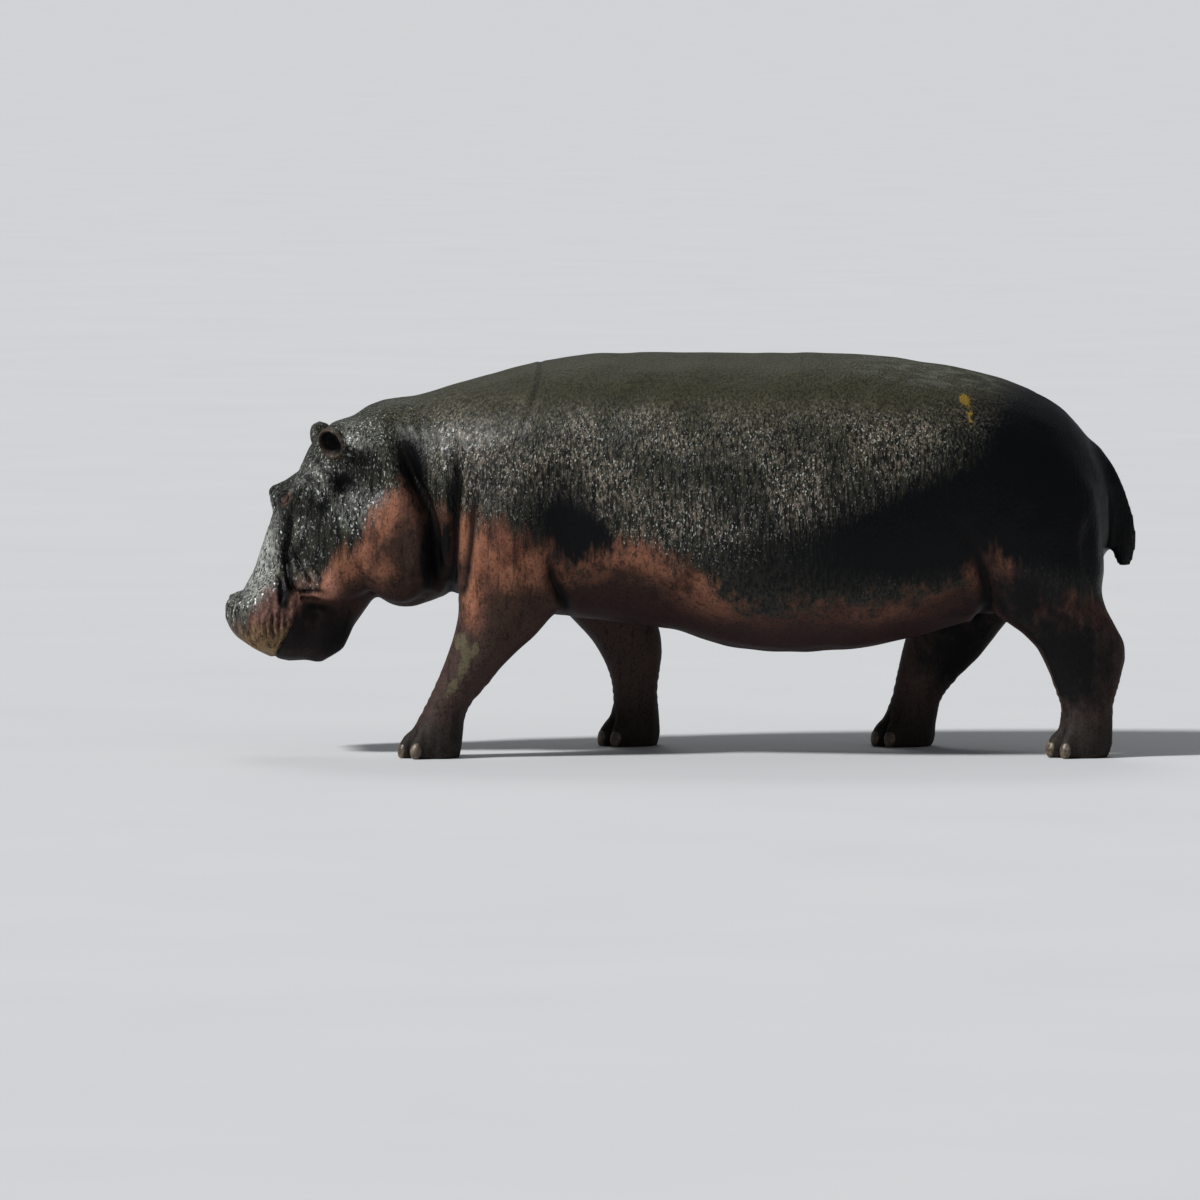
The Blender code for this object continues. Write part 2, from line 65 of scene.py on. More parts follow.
LEGS = ("front_left", "front_right", "hind_left", "hind_right")
FLESH = ["trunk", "neck", "head", "tail", "ear_left", "ear_right"]
FLESH += [f"{part}_{leg}" for leg in LEGS for part in ("leg", "foot")]
NAILS = [f"nail_{leg}_{number}" for leg in LEGS for number in (1, 2, 3, 4)]
GRID = 0.0104  # side of the remesh's cells
FILLER_SHARE = 0.90  # size of the plugs that stand in for the toenails under the skin
SOCKET_SHARE = 1.05  # size of the balls that stand in for the eyes
THINNING = 0.5  # share asked of the thinning, which leaves fewer where the hide is plain


def middle(node):
    low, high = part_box(node)
    return (Vector(low) + Vector(high)) / 2


def add_copy(bm, node, share=1.0):
    """Adds a CAD node's mesh to bm, its doubles merged, sized about its own middle."""
    part = bmesh.new()
    part.from_mesh(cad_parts[node].data)
    bmesh.ops.remove_doubles(part, verts=part.verts, dist=1e-5)
    if node.startswith("ear"):  # filled here, and hollowed again when the mesh is finer
        hull = bmesh.ops.convex_hull(part, input=part.verts)
        inner = set(hull["geom_interior"]) | set(hull["geom_unused"])
        bmesh.ops.delete(part, geom=[v for v in inner if isinstance(v, bmesh.types.BMVert)])
    about = Matrix.Translation(-middle(node))
    bmesh.ops.scale(part, vec=(share,) * 3, space=about, verts=part.verts)
    mesh = bpy.data.meshes.new("copy")
    part.to_mesh(mesh)
    part.free()
    bm.from_mesh(mesh)
    bpy.data.meshes.remove(mesh)


def applied(obj, kind, **settings):
    """Adds one modifier to an object and applies it."""
    modifier = obj.modifiers.new(kind.lower(), kind)
    for key, value in settings.items():
        setattr(modifier, key, value)
    graph = bpy.context.evaluated_depsgraph_get()
    mesh = bpy.data.meshes.new_from_object(obj.evaluated_get(graph))
    obj.modifiers.clear()
    obj.data = mesh


def group(obj, name, weights):
    """A vertex group that holds one weight for each vertex."""
    made = obj.vertex_groups.get(name) or obj.vertex_groups.new(name=name)
    for index, weight in enumerate(weights):
        made.add([index], float(weight), "REPLACE")
    return name


def made(name, bm):
    """A new object in the scene with bm's mesh; bm is freed."""
    mesh = bpy.data.meshes.new(name)
    bm.to_mesh(mesh)
    bm.free()
    obj = bpy.data.objects.new(name, mesh)
    bpy.context.scene.collection.objects.link(obj)
    return obj


def shade_smooth(obj):
    polygons = obj.data.polygons
    polygons.foreach_set("use_smooth", np.ones(len(polygons), dtype=bool))


def places(obj):
    """The place of each point of a mesh, one row for each."""
    found = np.empty(len(obj.data.vertices) * 3)
    obj.data.vertices.foreach_get("co", found)
    return found.reshape(-1, 3)


def outward(obj):
    """The way the surface faces at each point of a mesh, one row for each."""
    found = np.empty(len(obj.data.vertices) * 3)
    obj.data.vertices.foreach_get("normal", found)
    return found.reshape(-1, 3)


def between(value, low, high):
    """0 below low, 1 above high, and a smooth step from one to the other."""
    t = np.clip((value - low) / (high - low), 0, 1)
    return t * t * (3 - 2 * t)


bm = bmesh.new()
for node in FLESH:
    add_copy(bm, node)
for node in NAILS:
    add_copy(bm, node, FILLER_SHARE)
for node in ("eye_left", "eye_right"):
    add_copy(bm, node, SOCKET_SHARE)
skin = made("hide", bm)
applied(skin, "REMESH", mode="VOXEL", voxel_size=GRID)

# The head's own frame starts midway between the eyes: ahead along the muzzle, out to the left,
# and up through the crown.
HEAD_PITCH = math.radians(60)
UP = Vector((0, 0, 1))
eye_middles = {"left": middle("eye_left"), "right": middle("eye_right")}
head_origin = (eye_middles["left"] + eye_middles["right"]) / 2
head_left = (eye_middles["left"] - eye_middles["right"]).normalized()
level_ahead = head_left.cross(UP)
head_ahead = level_ahead * math.cos(HEAD_PITCH) - UP * math.sin(HEAD_PITCH)
head_up = level_ahead * math.sin(HEAD_PITCH) + UP * math.cos(HEAD_PITCH)


def in_head(points):
    """Ahead, left and up from between the eyes, as three arrays."""
    from_eyes = points - np.array(head_origin)
    return [from_eyes @ np.array(way) for way in (head_ahead, head_left, head_up)]


def smooth_route(stations, steps=8):
    """A curve through the stations, as short straight lengths."""
    p = np.array([2 * np.array(stations[0]) - stations[1], *stations,
                  2 * np.array(stations[-1]) - stations[-2]])
    t = np.linspace(0, 1, steps, endpoint=False)[:, None]
    lengths = []
    for a, b, c, d in zip(p, p[1:], p[2:], p[3:]):
        lengths.append(0.5 * (2 * b + (c - a) * t + (2 * a - 5 * b + 4 * c - d) * t**2
                              + (3 * b - a - 3 * c + d) * t**3))
    return np.vstack([*lengths, [stations[-1]]])


def beside(across, height, stations):
    """For each point, how far it is from a route, on which hand, and its share of the way."""
    route = smooth_route(stations)
    best = np.full(len(across), 1e9)
    hand = np.zeros(len(across))
    share = np.zeros(len(across))
    count = len(route) - 1
    for i, (start, end) in enumerate(zip(route, route[1:])):
        run = end - start
        size = run @ run + 1e-12
        da, dh = across - start[0], height - start[1]
        t = np.clip((da * run[0] + dh * run[1]) / size, 0, 1)
        gap = np.hypot(da - t * run[0], dh - t * run[1])
        nearer = gap < best
        best = np.where(nearer, gap, best)
        hand = np.where(nearer, np.sign(run[0] * dh - run[1] * da), hand)
        share = np.where(nearer, (i + t) / count, share)
    return best, hand, share


def tapered(share, start, end):
    """0 at both ends of a route and 1 between them, over the given shares of its length."""
    return between(share, 0, start) * between(1 - share, 0, end)


def crease(across, height, stations, depth, width, puff, side, ends):
    """A groove along a route, with the skin puffed up beside it on one hand."""
    gap, hand, share = beside(across, height, stations)
    groove = -depth * np.exp(-((gap / width) ** 2))
    swell = puff * np.exp(-(((gap - 2.2 * width) / (1.6 * width)) ** 2))
    return (groove + np.where(hand * side > 0, swell, 0.25 * swell)) * tapered(share, *ends)


def hump(across, height, place, radii, rise):
    """A low round swelling, or a hollow where rise is negative."""
    far = ((across - place[0]) / radii[0]) ** 2 + ((height - place[1]) / radii[1]) ** 2
    return rise * np.exp(-far)


# Smooth away the facets, least where the forms are small: on the head, the feet and the tail.
KEPT_ON_HEAD, KEPT_ON_FEET, KEPT_ON_TAIL = 0.80, 0.93, 0.82
FOOT_TOP = 0.24
P = places(skin)
on_head = between(-P[:, 0], 1.00, 1.25)
on_foot = between(FOOT_TOP - P[:, 2], 0.0, 0.10)
on_tail = between(P[:, 0], 1.685, 1.705) * between(P[:, 2], 0.60, 0.66)
small = np.maximum.reduce([KEPT_ON_HEAD * on_head, KEPT_ON_FEET * on_foot, KEPT_ON_TAIL * on_tail])
applied(skin, "SMOOTH", factor=0.5, iterations=36, vertex_group=group(skin, "even", 1 - small))


def refine(obj, chosen):
    """Splits each face between chosen vertices in four."""
    bm = bmesh.new()
    bm.from_mesh(obj.data)
    bm.verts.ensure_lookup_table()
    edges = [e for e in bm.edges if chosen[e.verts[0].index] and chosen[e.verts[1].index]]
    bmesh.ops.subdivide_edges(bm, edges=edges, cuts=1, use_grid_fill=True)
    bmesh.ops.triangulate(bm, faces=[f for f in bm.faces if len(f.verts) > 4])
    bm.to_mesh(obj.data)
    bm.free()


def eye_gap(points):
    """How far each point is from the nearer eye's middle."""
    return np.minimum(*(np.linalg.norm(points - np.array(eye_middles[side]), axis=1)
                        for side in ("left", "right")))


NOSTRIL = np.array((0.476, 0.108, -0.052))  # in the head's frame, mirrored for the right one
LIP_LINE = ((0.285, -0.225), (0.303, -0.254), (0.339, -0.266), (0.430, -0.278),
            (0.500, -0.284), (0.560, -0.295), (0.600, -0.312))


def from_nostril(points):
    """Ahead, outwards and up from the nearer nostril, one row for each point."""
    ahead, left, up = in_head(points)
    return np.column_stack([ahead, np.abs(left), up]) - NOSTRIL


def nostril_gap(points):
    """How far each point is from the nearer nostril."""
    return np.linalg.norm(from_nostril(points), axis=1)


# The mesh is split finer by the eyes, nostrils, mouth and ears, and over the upper lip's pads.
P = places(skin)
ahead, left, up = in_head(P)
lip_gap = beside(ahead, up, LIP_LINE)[0] + 10 * (ahead < 0)
ears = [np.array(middle(node)) for node in ("ear_left", "ear_right")]
ear_gap = np.minimum(*(np.linalg.norm(P - ear, axis=1) for ear in ears))
pad_side = (np.hypot((ahead - 0.40) / 0.15, (up + 0.20) / 0.10) < 1) & (np.abs(left) > 0.10)
refine(skin, (eye_gap(P) < 0.065) | (nostril_gap(P) < 0.055) | (lip_gap < 0.022)
       | (ear_gap < 0.080) | pad_side)
refine(skin, eye_gap(places(skin)) < 0.045)
refine(skin, eye_gap(places(skin)) < 0.030)

# Folds and swellings. Those of the body are given as x and z, those of the head as ahead and up.
BODY_CREASES = (
    # stations, depth, half width, puff, hand of the puff, tapers
    # behind the cheek, round the throat
    ([(-1.160, 1.32), (-1.105, 1.22), (-1.060, 1.11), (-1.005, 1.00), (-0.965, 0.87),
      (-0.948, 0.71), (-0.930, 0.60)], 0.042, 0.032, 0.020, -1, (0.35, 0.25)),
    # round the neck
    ([(-0.905, 1.30), (-0.885, 1.20), (-0.880, 1.05), (-0.888, 0.90), (-0.895, 0.74),
      (-0.915, 0.60)], 0.026, 0.020, 0.018, -1, (0.45, 0.08)),
    # between neck and shoulder
    ([(-0.800, 1.12), (-0.812, 0.98), (-0.825, 0.84), (-0.845, 0.70), (-0.87, 0.62)],
     0.016, 0.016, 0.012, 1, (0.35, 0.15)),
    # over the withers
    ([(-0.552, 1.60), (-0.556, 1.52), (-0.578, 1.42), (-0.622, 1.30), (-0.665, 1.18)],
     0.006, 0.007, 0.002, -1, (0.25, 0.45)),
    # armpit
    ([(-0.44, 0.52), (-0.455, 0.60), (-0.50, 0.71), (-0.53, 0.82)], 0.018, 0.020, 0.012, 1,
     (0.5, 0.5)),
    # flank
    ([(1.16, 0.50), (1.20, 0.60), (1.185, 0.72), (1.13, 0.86), (1.06, 0.98)], 0.018, 0.024,
     0.012, 1, (0.05, 0.5)),
    # behind the thigh
    ([(1.60, 0.98), (1.585, 0.86), (1.60, 0.74), (1.64, 0.64)], 0.012, 0.020, 0.008, 1,
     (0.4, 0.3)),
)
BODY_HUMPS = (
    # place, radii, rise: shoulder, hollow behind it, ribs, hollow of the flank, hip, thigh
    ((-0.70, 0.92), (0.16, 0.26), 0.022),
    ((-0.47, 0.93), (0.10, 0.20), -0.026),
    ((-0.05, 1.02), (0.30, 0.30), 0.010),
    ((0.72, 1.02), (0.28, 0.25), -0.008),
    ((1.18, 1.24), (0.15, 0.16), 0.014),
    ((1.36, 0.86), (0.17, 0.24), 0.014),
)
HEAD_CREASES = (
    # from under the eye down between nose and cheek
    ([(0.030, -0.050), (0.060, -0.062), (0.124, -0.090), (0.196, -0.123), (0.248, -0.155),
      (0.284, -0.196), (0.308, -0.240)], 0.026, 0.015, 0.010, -1, (0.35, 0.12)),
    # lines that run back from the corner of the mouth
    ([(0.291, -0.239), (0.263, -0.281), (0.242, -0.333)], 0.010, 0.006, 0.006, 1, (0.15, 0.4)),
    ([(0.318, -0.248), (0.292, -0.297), (0.275, -0.346)], 0.010, 0.006, 0.006, 1, (0.15, 0.4)),
    ([(0.323, -0.292), (0.307, -0.341), (0.291, -0.378)], 0.006, 0.006, 0.004, 1, (0.3, 0.4)),
    # between the puffs of skin above them
    ([(0.141, -0.118), (0.189, -0.174), (0.224, -0.235), (0.247, -0.265)], 0.012, 0.009, 0.008,
     -1, (0.2, 0.2)),
    ([(0.147, -0.167), (0.177, -0.225), (0.201, -0.274), (0.231, -0.303)], 0.008, 0.008, 0.006,
     -1, (0.3, 0.2)),
    # deep fold down the middle of the upper lip, and the fold that curls round its rear edge
    ([(0.262, -0.130), (0.317, -0.173), (0.376, -0.201)], 0.012, 0.011, 0.006, 1, (0.2, 0.3)),
    ([(0.284, -0.200), (0.302, -0.236), (0.336, -0.250), (0.379, -0.246)], 0.006, 0.006, 0.007,
     -1, (0.2, 0.3)),
    # short folds over the lip's lower half
    ([(0.431, -0.166), (0.477, -0.186), (0.516, -0.218)], 0.005, 0.005, 0.003, 1, (0.3, 0.3)),
    ([(0.409, -0.184), (0.459, -0.207), (0.512, -0.247)], 0.006, 0.005, 0.004, 1, (0.3, 0.2)),
    ([(0.401, -0.207), (0.455, -0.234), (0.502, -0.263)], 0.006, 0.005, 0.004, 1, (0.3, 0.2)),
    ([(0.402, -0.237), (0.442, -0.256), (0.475, -0.270)], 0.005, 0.005, 0.003, 1, (0.3, 0.2)),
    # behind the eye, over the cheekbone
    ([(-0.050, 0.035), (-0.095, 0.000), (-0.110, -0.060), (-0.080, -0.120)], 0.012, 0.016,
     0.006, 1, (0.25, 0.35)),
    # in front of the ear
    ([(-0.215, 0.010), (-0.180, -0.060), (-0.185, -0.130)], 0.010, 0.014, 0.005, 1, (0.3, 0.4)),
    # below the eye
    ([(0.050, 0.030), (0.056, -0.008), (0.032, -0.046), (-0.012, -0.058), (-0.050, -0.032)],
     0.004, 0.008, 0.003, 1, (0.2, 0.2)),
)
HEAD_HUMPS = (
    # place, radii, rise: the cheek at the mouth's corner, a puff above it, the jaw muscle, the
    # hollow of the temple, the ridge below it, the dip behind the eye
    ((0.205, -0.322), (0.040, 0.036), 0.014),
    ((0.206, -0.215), (0.028, 0.026), 0.010),
    ((0.000, -0.300), (0.120, 0.130), 0.010),
    ((-0.176, -0.173), (0.055, 0.050), -0.018),
    ((-0.060, -0.195), (0.060, 0.030), 0.008),
    ((-0.051, -0.111), (0.035, 0.030), -0.009),
)


def side_only(normals):
    """1 where the skin faces sideways and 0 where it faces ahead, back, up or down."""
    return between(np.abs(normals[:, 1]), 0.15, 0.50)


P, N = places(skin), outward(skin)
ahead, left, up = in_head(P)
on_head = between(-P[:, 0], 1.02, 1.16)
rise = np.zeros(len(P))
for stations, depth, width, puff, side, ends in BODY_CREASES:
    rise += crease(P[:, 0], P[:, 2], stations, depth, width, puff, side, ends)
for place, radii, height in BODY_HUMPS:
    rise += hump(P[:, 0], P[:, 2], place, radii, height) * side_only(N)
for stations, depth, width, puff, side, ends in HEAD_CREASES:
    rise += crease(ahead, up, stations, depth, width, puff, side, ends) * side_only(N) * on_head
for place, radii, height in HEAD_HUMPS:
    rise += hump(ahead, up, place, radii, height) * side_only(N) * on_head

# The upper lip hangs over the lower jaw along the whole mouth.
MOUTH_DEPTH, MOUTH_WIDTH = 0.018, 0.009
UNDERCUT, OVERHANG, OVERHANG_REACH = 0.012, 0.004, 0.040
gap, hand, share = beside(ahead, up, LIP_LINE)
mouth = on_head * (ahead > 0.2) * (0.3 + 0.7 * between(np.abs(left), 0.02, 0.13))
rise -= MOUTH_DEPTH * np.exp(-((gap / MOUTH_WIDTH) ** 2)) * tapered(share, 0.06, 0.15) * mouth
below = hand < 0
overhang = np.where(below, -UNDERCUT, OVERHANG) * np.exp(-((gap / OVERHANG_REACH) ** 2))
rise += overhang * tapered(share, 0.12, 0.35) * mouth

# Upright wrinkles of the upper lip, coarse and fine, and the valley between its two pads.
WRINKLE_GAP, WRINKLE_RISE, FINE_WRINKLES = 0.034, 0.0022, 311  # the last in radians a metre
VALLEY_WIDTH, VALLEY_DEPTH = 0.020, 0.009
lip_pad = np.exp(-(((ahead - 0.425) / 0.105) ** 2) - (((up + 0.195) / 0.085) ** 2)) * ~below
level = P @ np.array(level_ahead)
wander = 0.012 * np.sin(38 * P[:, 2] + 9 * level) + 0.006 * np.sin(97 * P[:, 2] + 1.3)
wrinkles = np.sin((level + wander) * 2 * math.pi / WRINKLE_GAP)
wrinkles += 0.6 * np.sin((level + wander) * FINE_WRINKLES)
rise += WRINKLE_RISE * wrinkles * lip_pad * mouth * side_only(N)
valley = np.exp(-((left / VALLEY_WIDTH) ** 2)) * between(ahead, 0.42, 0.50) * ~below
rise -= VALLEY_DEPTH * valley

# Nostrils: bent slits over the two mounds, each with a raised rim.
SLIT_LENGTH, SLIT_WIDTH, SLIT_DEPTH, SLIT_BEND = 0.033, 0.0095, 0.028, 7
RIM_LENGTH, RIM_WIDTH, RIM_RISE = 0.047, 0.026, 0.0055
slit_way = Vector((0.80, 0.40, -0.45)).normalized()
slit_out = Vector((0.15, 0.62, 0.77)).normalized()
slit_across = slit_way.cross(slit_out).normalized()


def beside_slit(points):
    """Along, across and out of the nearer nostril's slit, as three arrays."""
    gaps = from_nostril(points)
    along, across, out = (gaps @ np.array(way) for way in (slit_way, slit_across, slit_out))
    return along, across - SLIT_BEND * along**2, out


along, across, out = beside_slit(P)
facing = between(out, -0.035, -0.015)
oval = (along / SLIT_LENGTH) ** 2 + (across / SLIT_WIDTH) ** 2
rise -= SLIT_DEPTH * np.exp(-(oval**1.5)) * facing
rim = np.sqrt((along / RIM_LENGTH) ** 2 + ((across - 0.004) / RIM_WIDTH) ** 2)
rise += RIM_RISE * np.exp(-(((rim - 0.95) / 0.40) ** 2)) * facing

# Ears: a deep cup with a round rim.
EAR_LENGTH_WAY = Vector((0.10, 0.62, 0.78)).normalized()  # y counts outwards from the middle
EAR_OPEN_WAY = Vector((-0.58, 0.70, -0.42))
EAR_HALF_WIDTH, EAR_HALF_LENGTH = 0.062, 0.071
CUP_DEPTH, CUP_REACH = 0.038, 0.09
for node, sign in (("ear_left", -1), ("ear_right", 1)):
    mirrored = Vector((1, sign, 1))
    along = EAR_LENGTH_WAY * mirrored
    opening = EAR_OPEN_WAY * mirrored
    opening = (opening - along * opening.dot(along)).normalized()
    from_ear = P - np.array(middle(node))
    a = from_ear @ np.array(along) / EAR_HALF_LENGTH
    b = from_ear @ np.array(along.cross(opening)) / EAR_HALF_WIDTH
    cup = 1 - between(np.hypot(a, b), 0.52, 0.90)
    cup *= between(N @ np.array(opening), 0.2, 0.6) * (from_ear @ np.array(opening) > 0)
    cup *= np.linalg.norm(from_ear, axis=1) < CUP_REACH
    P -= np.outer(CUP_DEPTH * cup, np.array(opening))

# A mound round each eye.
MOUND_RISE, MOUND_REACH = 0.009, 0.050
rise += MOUND_RISE * np.exp(-((eye_gap(P) / MOUND_REACH) ** 4))

# Four toes to a foot: a bulge over each nail and a cleft between neighbours.
TOE_LEVEL, TOE_WIDTH, TOE_HEIGHT, TOE_RISE = 0.085, 0.026, 0.032, 0.009
CLEFT_TOP, CLEFT_WIDTH, CLEFT_DEPTH = 0.150, 0.011, 0.013


def turned(angle, start):
    """The turn from start to angle, the short way round."""
    return (angle - start + math.pi) % (2 * math.pi) - math.pi


for leg in LEGS:
    foot = middle(f"foot_{leg}")
    across, out = P[:, 0] - foot.x, P[:, 1] - foot.y
    reach = np.hypot(across, out)
    on_this = (reach < 0.22) & (P[:, 2] < 0.26)
    angle = np.arctan2(out, across)
    nails = [middle(f"nail_{leg}_{number}") for number in (1, 2, 3, 4)]
    toes = np.unwrap([math.atan2(nail.y - foot.y, nail.x - foot.x) for nail in nails])
    for toe in toes:
        aside = turned(angle, toe) * reach / TOE_WIDTH
        bulge = np.exp(-(aside**2) - (((P[:, 2] - TOE_LEVEL) / TOE_HEIGHT) ** 2))
        rise += TOE_RISE * bulge * on_this
    for cleft in (toes[1:] + toes[:-1]) / 2:
        aside = turned(angle, cleft) * reach / CLEFT_WIDTH
        groove = np.exp(-(aside**2)) * between(CLEFT_TOP - P[:, 2], 0, 0.07)
        rise -= CLEFT_DEPTH * groove * on_this


def waves(points, seed, count, shortest, longest):
    """A smooth uneven field made of many waves, from about -1 to 1."""
    draw = np.random.default_rng(seed)
    total = np.zeros(len(points))
    for _ in range(count):
        way = draw.normal(size=3)
        way *= 2 * math.pi / np.linalg.norm(way) / draw.uniform(shortest, longest)
        total += np.sin(points @ way + draw.uniform(0, 2 * math.pi))
    return total * math.sqrt(2 / count)


# Rings of wrinkles at the wrists and ankles, and upright ones on the neck.
RING_GAP, NECK_RING_GAP, RING_RISE = 0.032, 0.046, 0.0016
drift = waves(P, 3, 14, 0.10, 0.30)
rings = np.sin((P[:, 2] + 0.012 * drift) * 2 * math.pi / RING_GAP)
rise += RING_RISE * rings * between(P[:, 2], 0.13, 0.18) * (1 - between(P[:, 2], 0.26, 0.36))
on_neck = between(P[:, 0], -1.16, -1.06) * (1 - between(P[:, 0], -0.86, -0.70)) * side_only(N)
rings = np.sin((P[:, 0] + 0.25 * P[:, 2] + 0.014 * drift) * 2 * math.pi / NECK_RING_GAP)
rise += RING_RISE * rings * on_neck

# The whole hide is a little uneven, the head half as much.
UNEVENNESS = 0.0014
uneven = waves(P, 7, 40, 0.10, 0.34) * between(P[:, 2], 0.05, 0.3)
rise += UNEVENNESS * uneven * (1 - 0.5 * on_head)

P += N * rise[:, None]
skin.data.vertices.foreach_set("co", P.ravel())
applied(skin, "SMOOTH", factor=0.4, iterations=2)
P = places(skin)

# Eyelids: the skin is drawn to a ball just larger than the eye, and dips behind the eye inside
# an almond-shaped opening. Farther out the lids run over into the socket in two folds.
EYE_RADIUS = 0.024
LID, SUNK = 0.0034, 0.0045  # the lids stand over the eyeball, the skin inside them under it
OPEN_LENGTH, OPEN_HEIGHT = 0.0180, 0.0088
LID_FOLDS = (  # rise, and then the place and half width as angles outside the opening
    (0.0014, 0.10, 0.09), (-0.0030, 0.32, 0.07), (0.0022, 0.52, 0.12), (-0.0024, 0.78, 0.08))


def eye_ways(sign):
    """The way an eye looks, and its ways ahead and up across that; 1 is the left eye."""
    gaze = (head_left * sign + 0.28 * head_ahead + 0.16 * head_up).normalized()
    fore = (head_ahead - gaze * head_ahead.dot(gaze)).normalized()
    top = gaze.cross(fore) * -sign
    return gaze, fore, top


for side, sign in (("left", 1), ("right", -1)):
    gaze, fore, top = eye_ways(sign)
    from_eye = P - np.array(eye_middles[side])
    far = np.linalg.norm(from_eye, axis=1) + 1e-9
    way = from_eye / far[:, None]
    a, b, c = (way @ np.array(axis) * EYE_RADIUS for axis in (fore, top, gaze))
    opening = OPEN_HEIGHT * (1 - np.clip((a / OPEN_LENGTH) ** 2, 0, 1)) - np.abs(b)
    opening -= np.maximum(0, np.abs(a) - OPEN_LENGTH)
    inside = between(opening, -0.0009, 0.0009)
    angle = np.arccos(np.clip(c / EYE_RADIUS, -1, 1))
    share = angle / np.maximum(np.hypot(a, b), 1e-9)
    oval = np.hypot(a * share / 0.90, b * share / 0.50)
    outside = angle * (1 - 1 / np.maximum(oval, 1))
    lid = LID
    for fold_rise, place, half_width in LID_FOLDS:
        lid = lid + fold_rise * np.exp(-(((outside - place) / half_width) ** 2))
    ball = EYE_RADIUS + lid * (1 - inside) - SUNK * inside
    settled = between(outside, 0.20, 0.85)
    target = ball * (1 - settled) + np.maximum(far + lid - LID, EYE_RADIUS + 0.003) * settled
    drawn = (1 - between(far, 0.045, 0.062)) * (1 - between(outside, 0.8, 1.2))
    P += way * ((target - far) * drawn)[:, None]

MARGIN = 0.0005  # the skin stays this far inside the CAD's box
P = np.clip(P, np.array(cad_box[0]) + MARGIN, np.array(cad_box[1]) - MARGIN)
skin.data.vertices.foreach_set("co", P.ravel())
skin.data.update()

# The mesh is thinned where the hide is plain and kept where it is fine: by the eyes and
# nostrils, on the head and more so on its muzzle, on the feet and on the tail.
fine = np.maximum.reduce([
    1 - between(eye_gap(P), 0.05, 0.08),
    1 - between(nostril_gap(P), 0.05, 0.09),
    0.75 * between(-P[:, 0], 1.05, 1.25),
    0.90 * between(-P[:, 0], 1.48, 1.54),
    0.55 * (1 - between(P[:, 2], 0.12, 0.24)),
    0.60 * between(P[:, 0], 1.66, 1.74)])
applied(skin, "DECIMATE", ratio=THINNING, vertex_group=group(skin, "plain", 1 - fine),
        vertex_group_factor=1.0)
shade_smooth(skin)

# ------------------------------------------------------------------ the hide's markings
# Water has soaked the upper body almost black and runs down in drips over the dry brown skin of
# cheek, shoulder, belly and legs. Each mark is a number kept at the points of the hide.

# The lower edge of the wet hide, as x and z, from the muzzle to the rump.
WET_LINE = (
    (-1.85, 0.46), (-1.77, 0.48), (-1.71, 0.50), (-1.69, 0.56), (-1.62, 0.63), (-1.55, 0.64),
    (-1.50, 0.62), (-1.45, 0.64), (-1.42, 0.70), (-1.37, 0.79), (-1.28, 0.88), (-1.24, 0.92),
    (-1.18, 1.00), (-1.12, 1.06), (-1.04, 1.03), (-0.95, 0.96), (-0.87, 0.94), (-0.75, 0.95),
    (-0.62, 0.87), (-0.55, 0.81), (-0.47, 0.78), (-0.38, 0.78), (-0.30, 0.82), (-0.24, 0.90),
    (-0.10, 0.85), (0.05, 0.75), (0.15, 0.65), (0.30, 0.56), (0.50, 0.59), (0.70, 0.61),
    (0.95, 0.64), (1.08, 0.68), (1.18, 0.79), (1.28, 0.78), (1.36, 0.70), (1.45, 0.62),
    (1.90, 0.56))
# Patches, each as place, radii and strength, in x and z.
# Painted shadow as well as wet: these patches are painted near black where the body lies out of
# the light, in the hollows behind shoulder, cheek and eye, under the flank and on thigh and rump.
SOAKED_AND_SHADED = (  # the wettest, darkest hollows
    ((-0.47, 0.94), (0.15, 0.17), 1.0), ((-0.34, 0.84), (0.14, 0.11), 1.0),
    ((-1.05, 1.06), (0.06, 0.20), 0.9), ((-0.90, 0.98), (0.03, 0.20), 0.8),
    ((0.35, 0.78), (0.22, 0.16), 0.4), ((0.80, 0.84), (0.38, 0.18), 1.2),
    ((1.10, 1.00), (0.30, 0.20), 0.9), ((1.48, 1.02), (0.30, 0.34), 1.2),
    ((1.68, 0.95), (0.14, 0.45), 0.9), ((1.48, 1.32), (0.17, 0.18), 1.3),
    ((1.18, 1.34), (0.20, 0.20), 0.45), ((1.60, 1.22), (0.14, 0.18), 1.0),
    ((-1.07, 1.16), (0.05, 0.10), 0.8), ((-1.325, 1.075), (0.055, 0.050), 1.4),
    ((-1.42, 0.985), (0.035, 0.030), 1.0))
# Painted light: these are the lit spots of dry skin on cheek, shoulder, chest and belly, painted
# brighter chestnut.
BARE_AND_LIT = (  # clean dry skin, the brightest chestnut
    ((-1.34, 0.80), (0.10, 0.09), 1.3), ((-1.17, 0.95), (0.05, 0.10), 0.6),
    ((-1.15, 0.72), (0.08, 0.06), 0.35), ((-0.80, 0.83), (0.09, 0.10), 0.9),
    ((-0.66, 0.74), (0.12, 0.10), 0.5), ((-0.16, 0.83), (0.13, 0.09), 0.9),
    ((0.14, 0.62), (0.15, 0.09), 1.5), ((-1.40, 0.67), (0.05, 0.07), 0.8),
    ((-0.82, 0.60), (0.045, 0.10), 0.9), ((0.75, 0.56), (0.35, 0.05), 0.4))
# Stains, and painted shade: the dark of the lower jaw and of the neck's folds is painted in here
# too.
STAINED_AND_SHADED = (  # near black, above the wet line or below it
    ((-1.567, 0.640), (0.030, 0.075), 1.0), ((-1.660, 0.520), (0.012, 0.050), 0.5),
    ((-1.300, 0.450), (0.140, 0.100), 0.8), ((-1.000, 0.780), (0.040, 0.180), 0.9),
    ((-0.925, 0.860), (0.030, 0.130), 0.8), ((1.520, 0.380), (0.280, 0.300), 0.75),
    ((1.080, 0.380), (0.200, 0.250), 0.65), ((1.330, 0.680), (0.150, 0.120), 0.50))
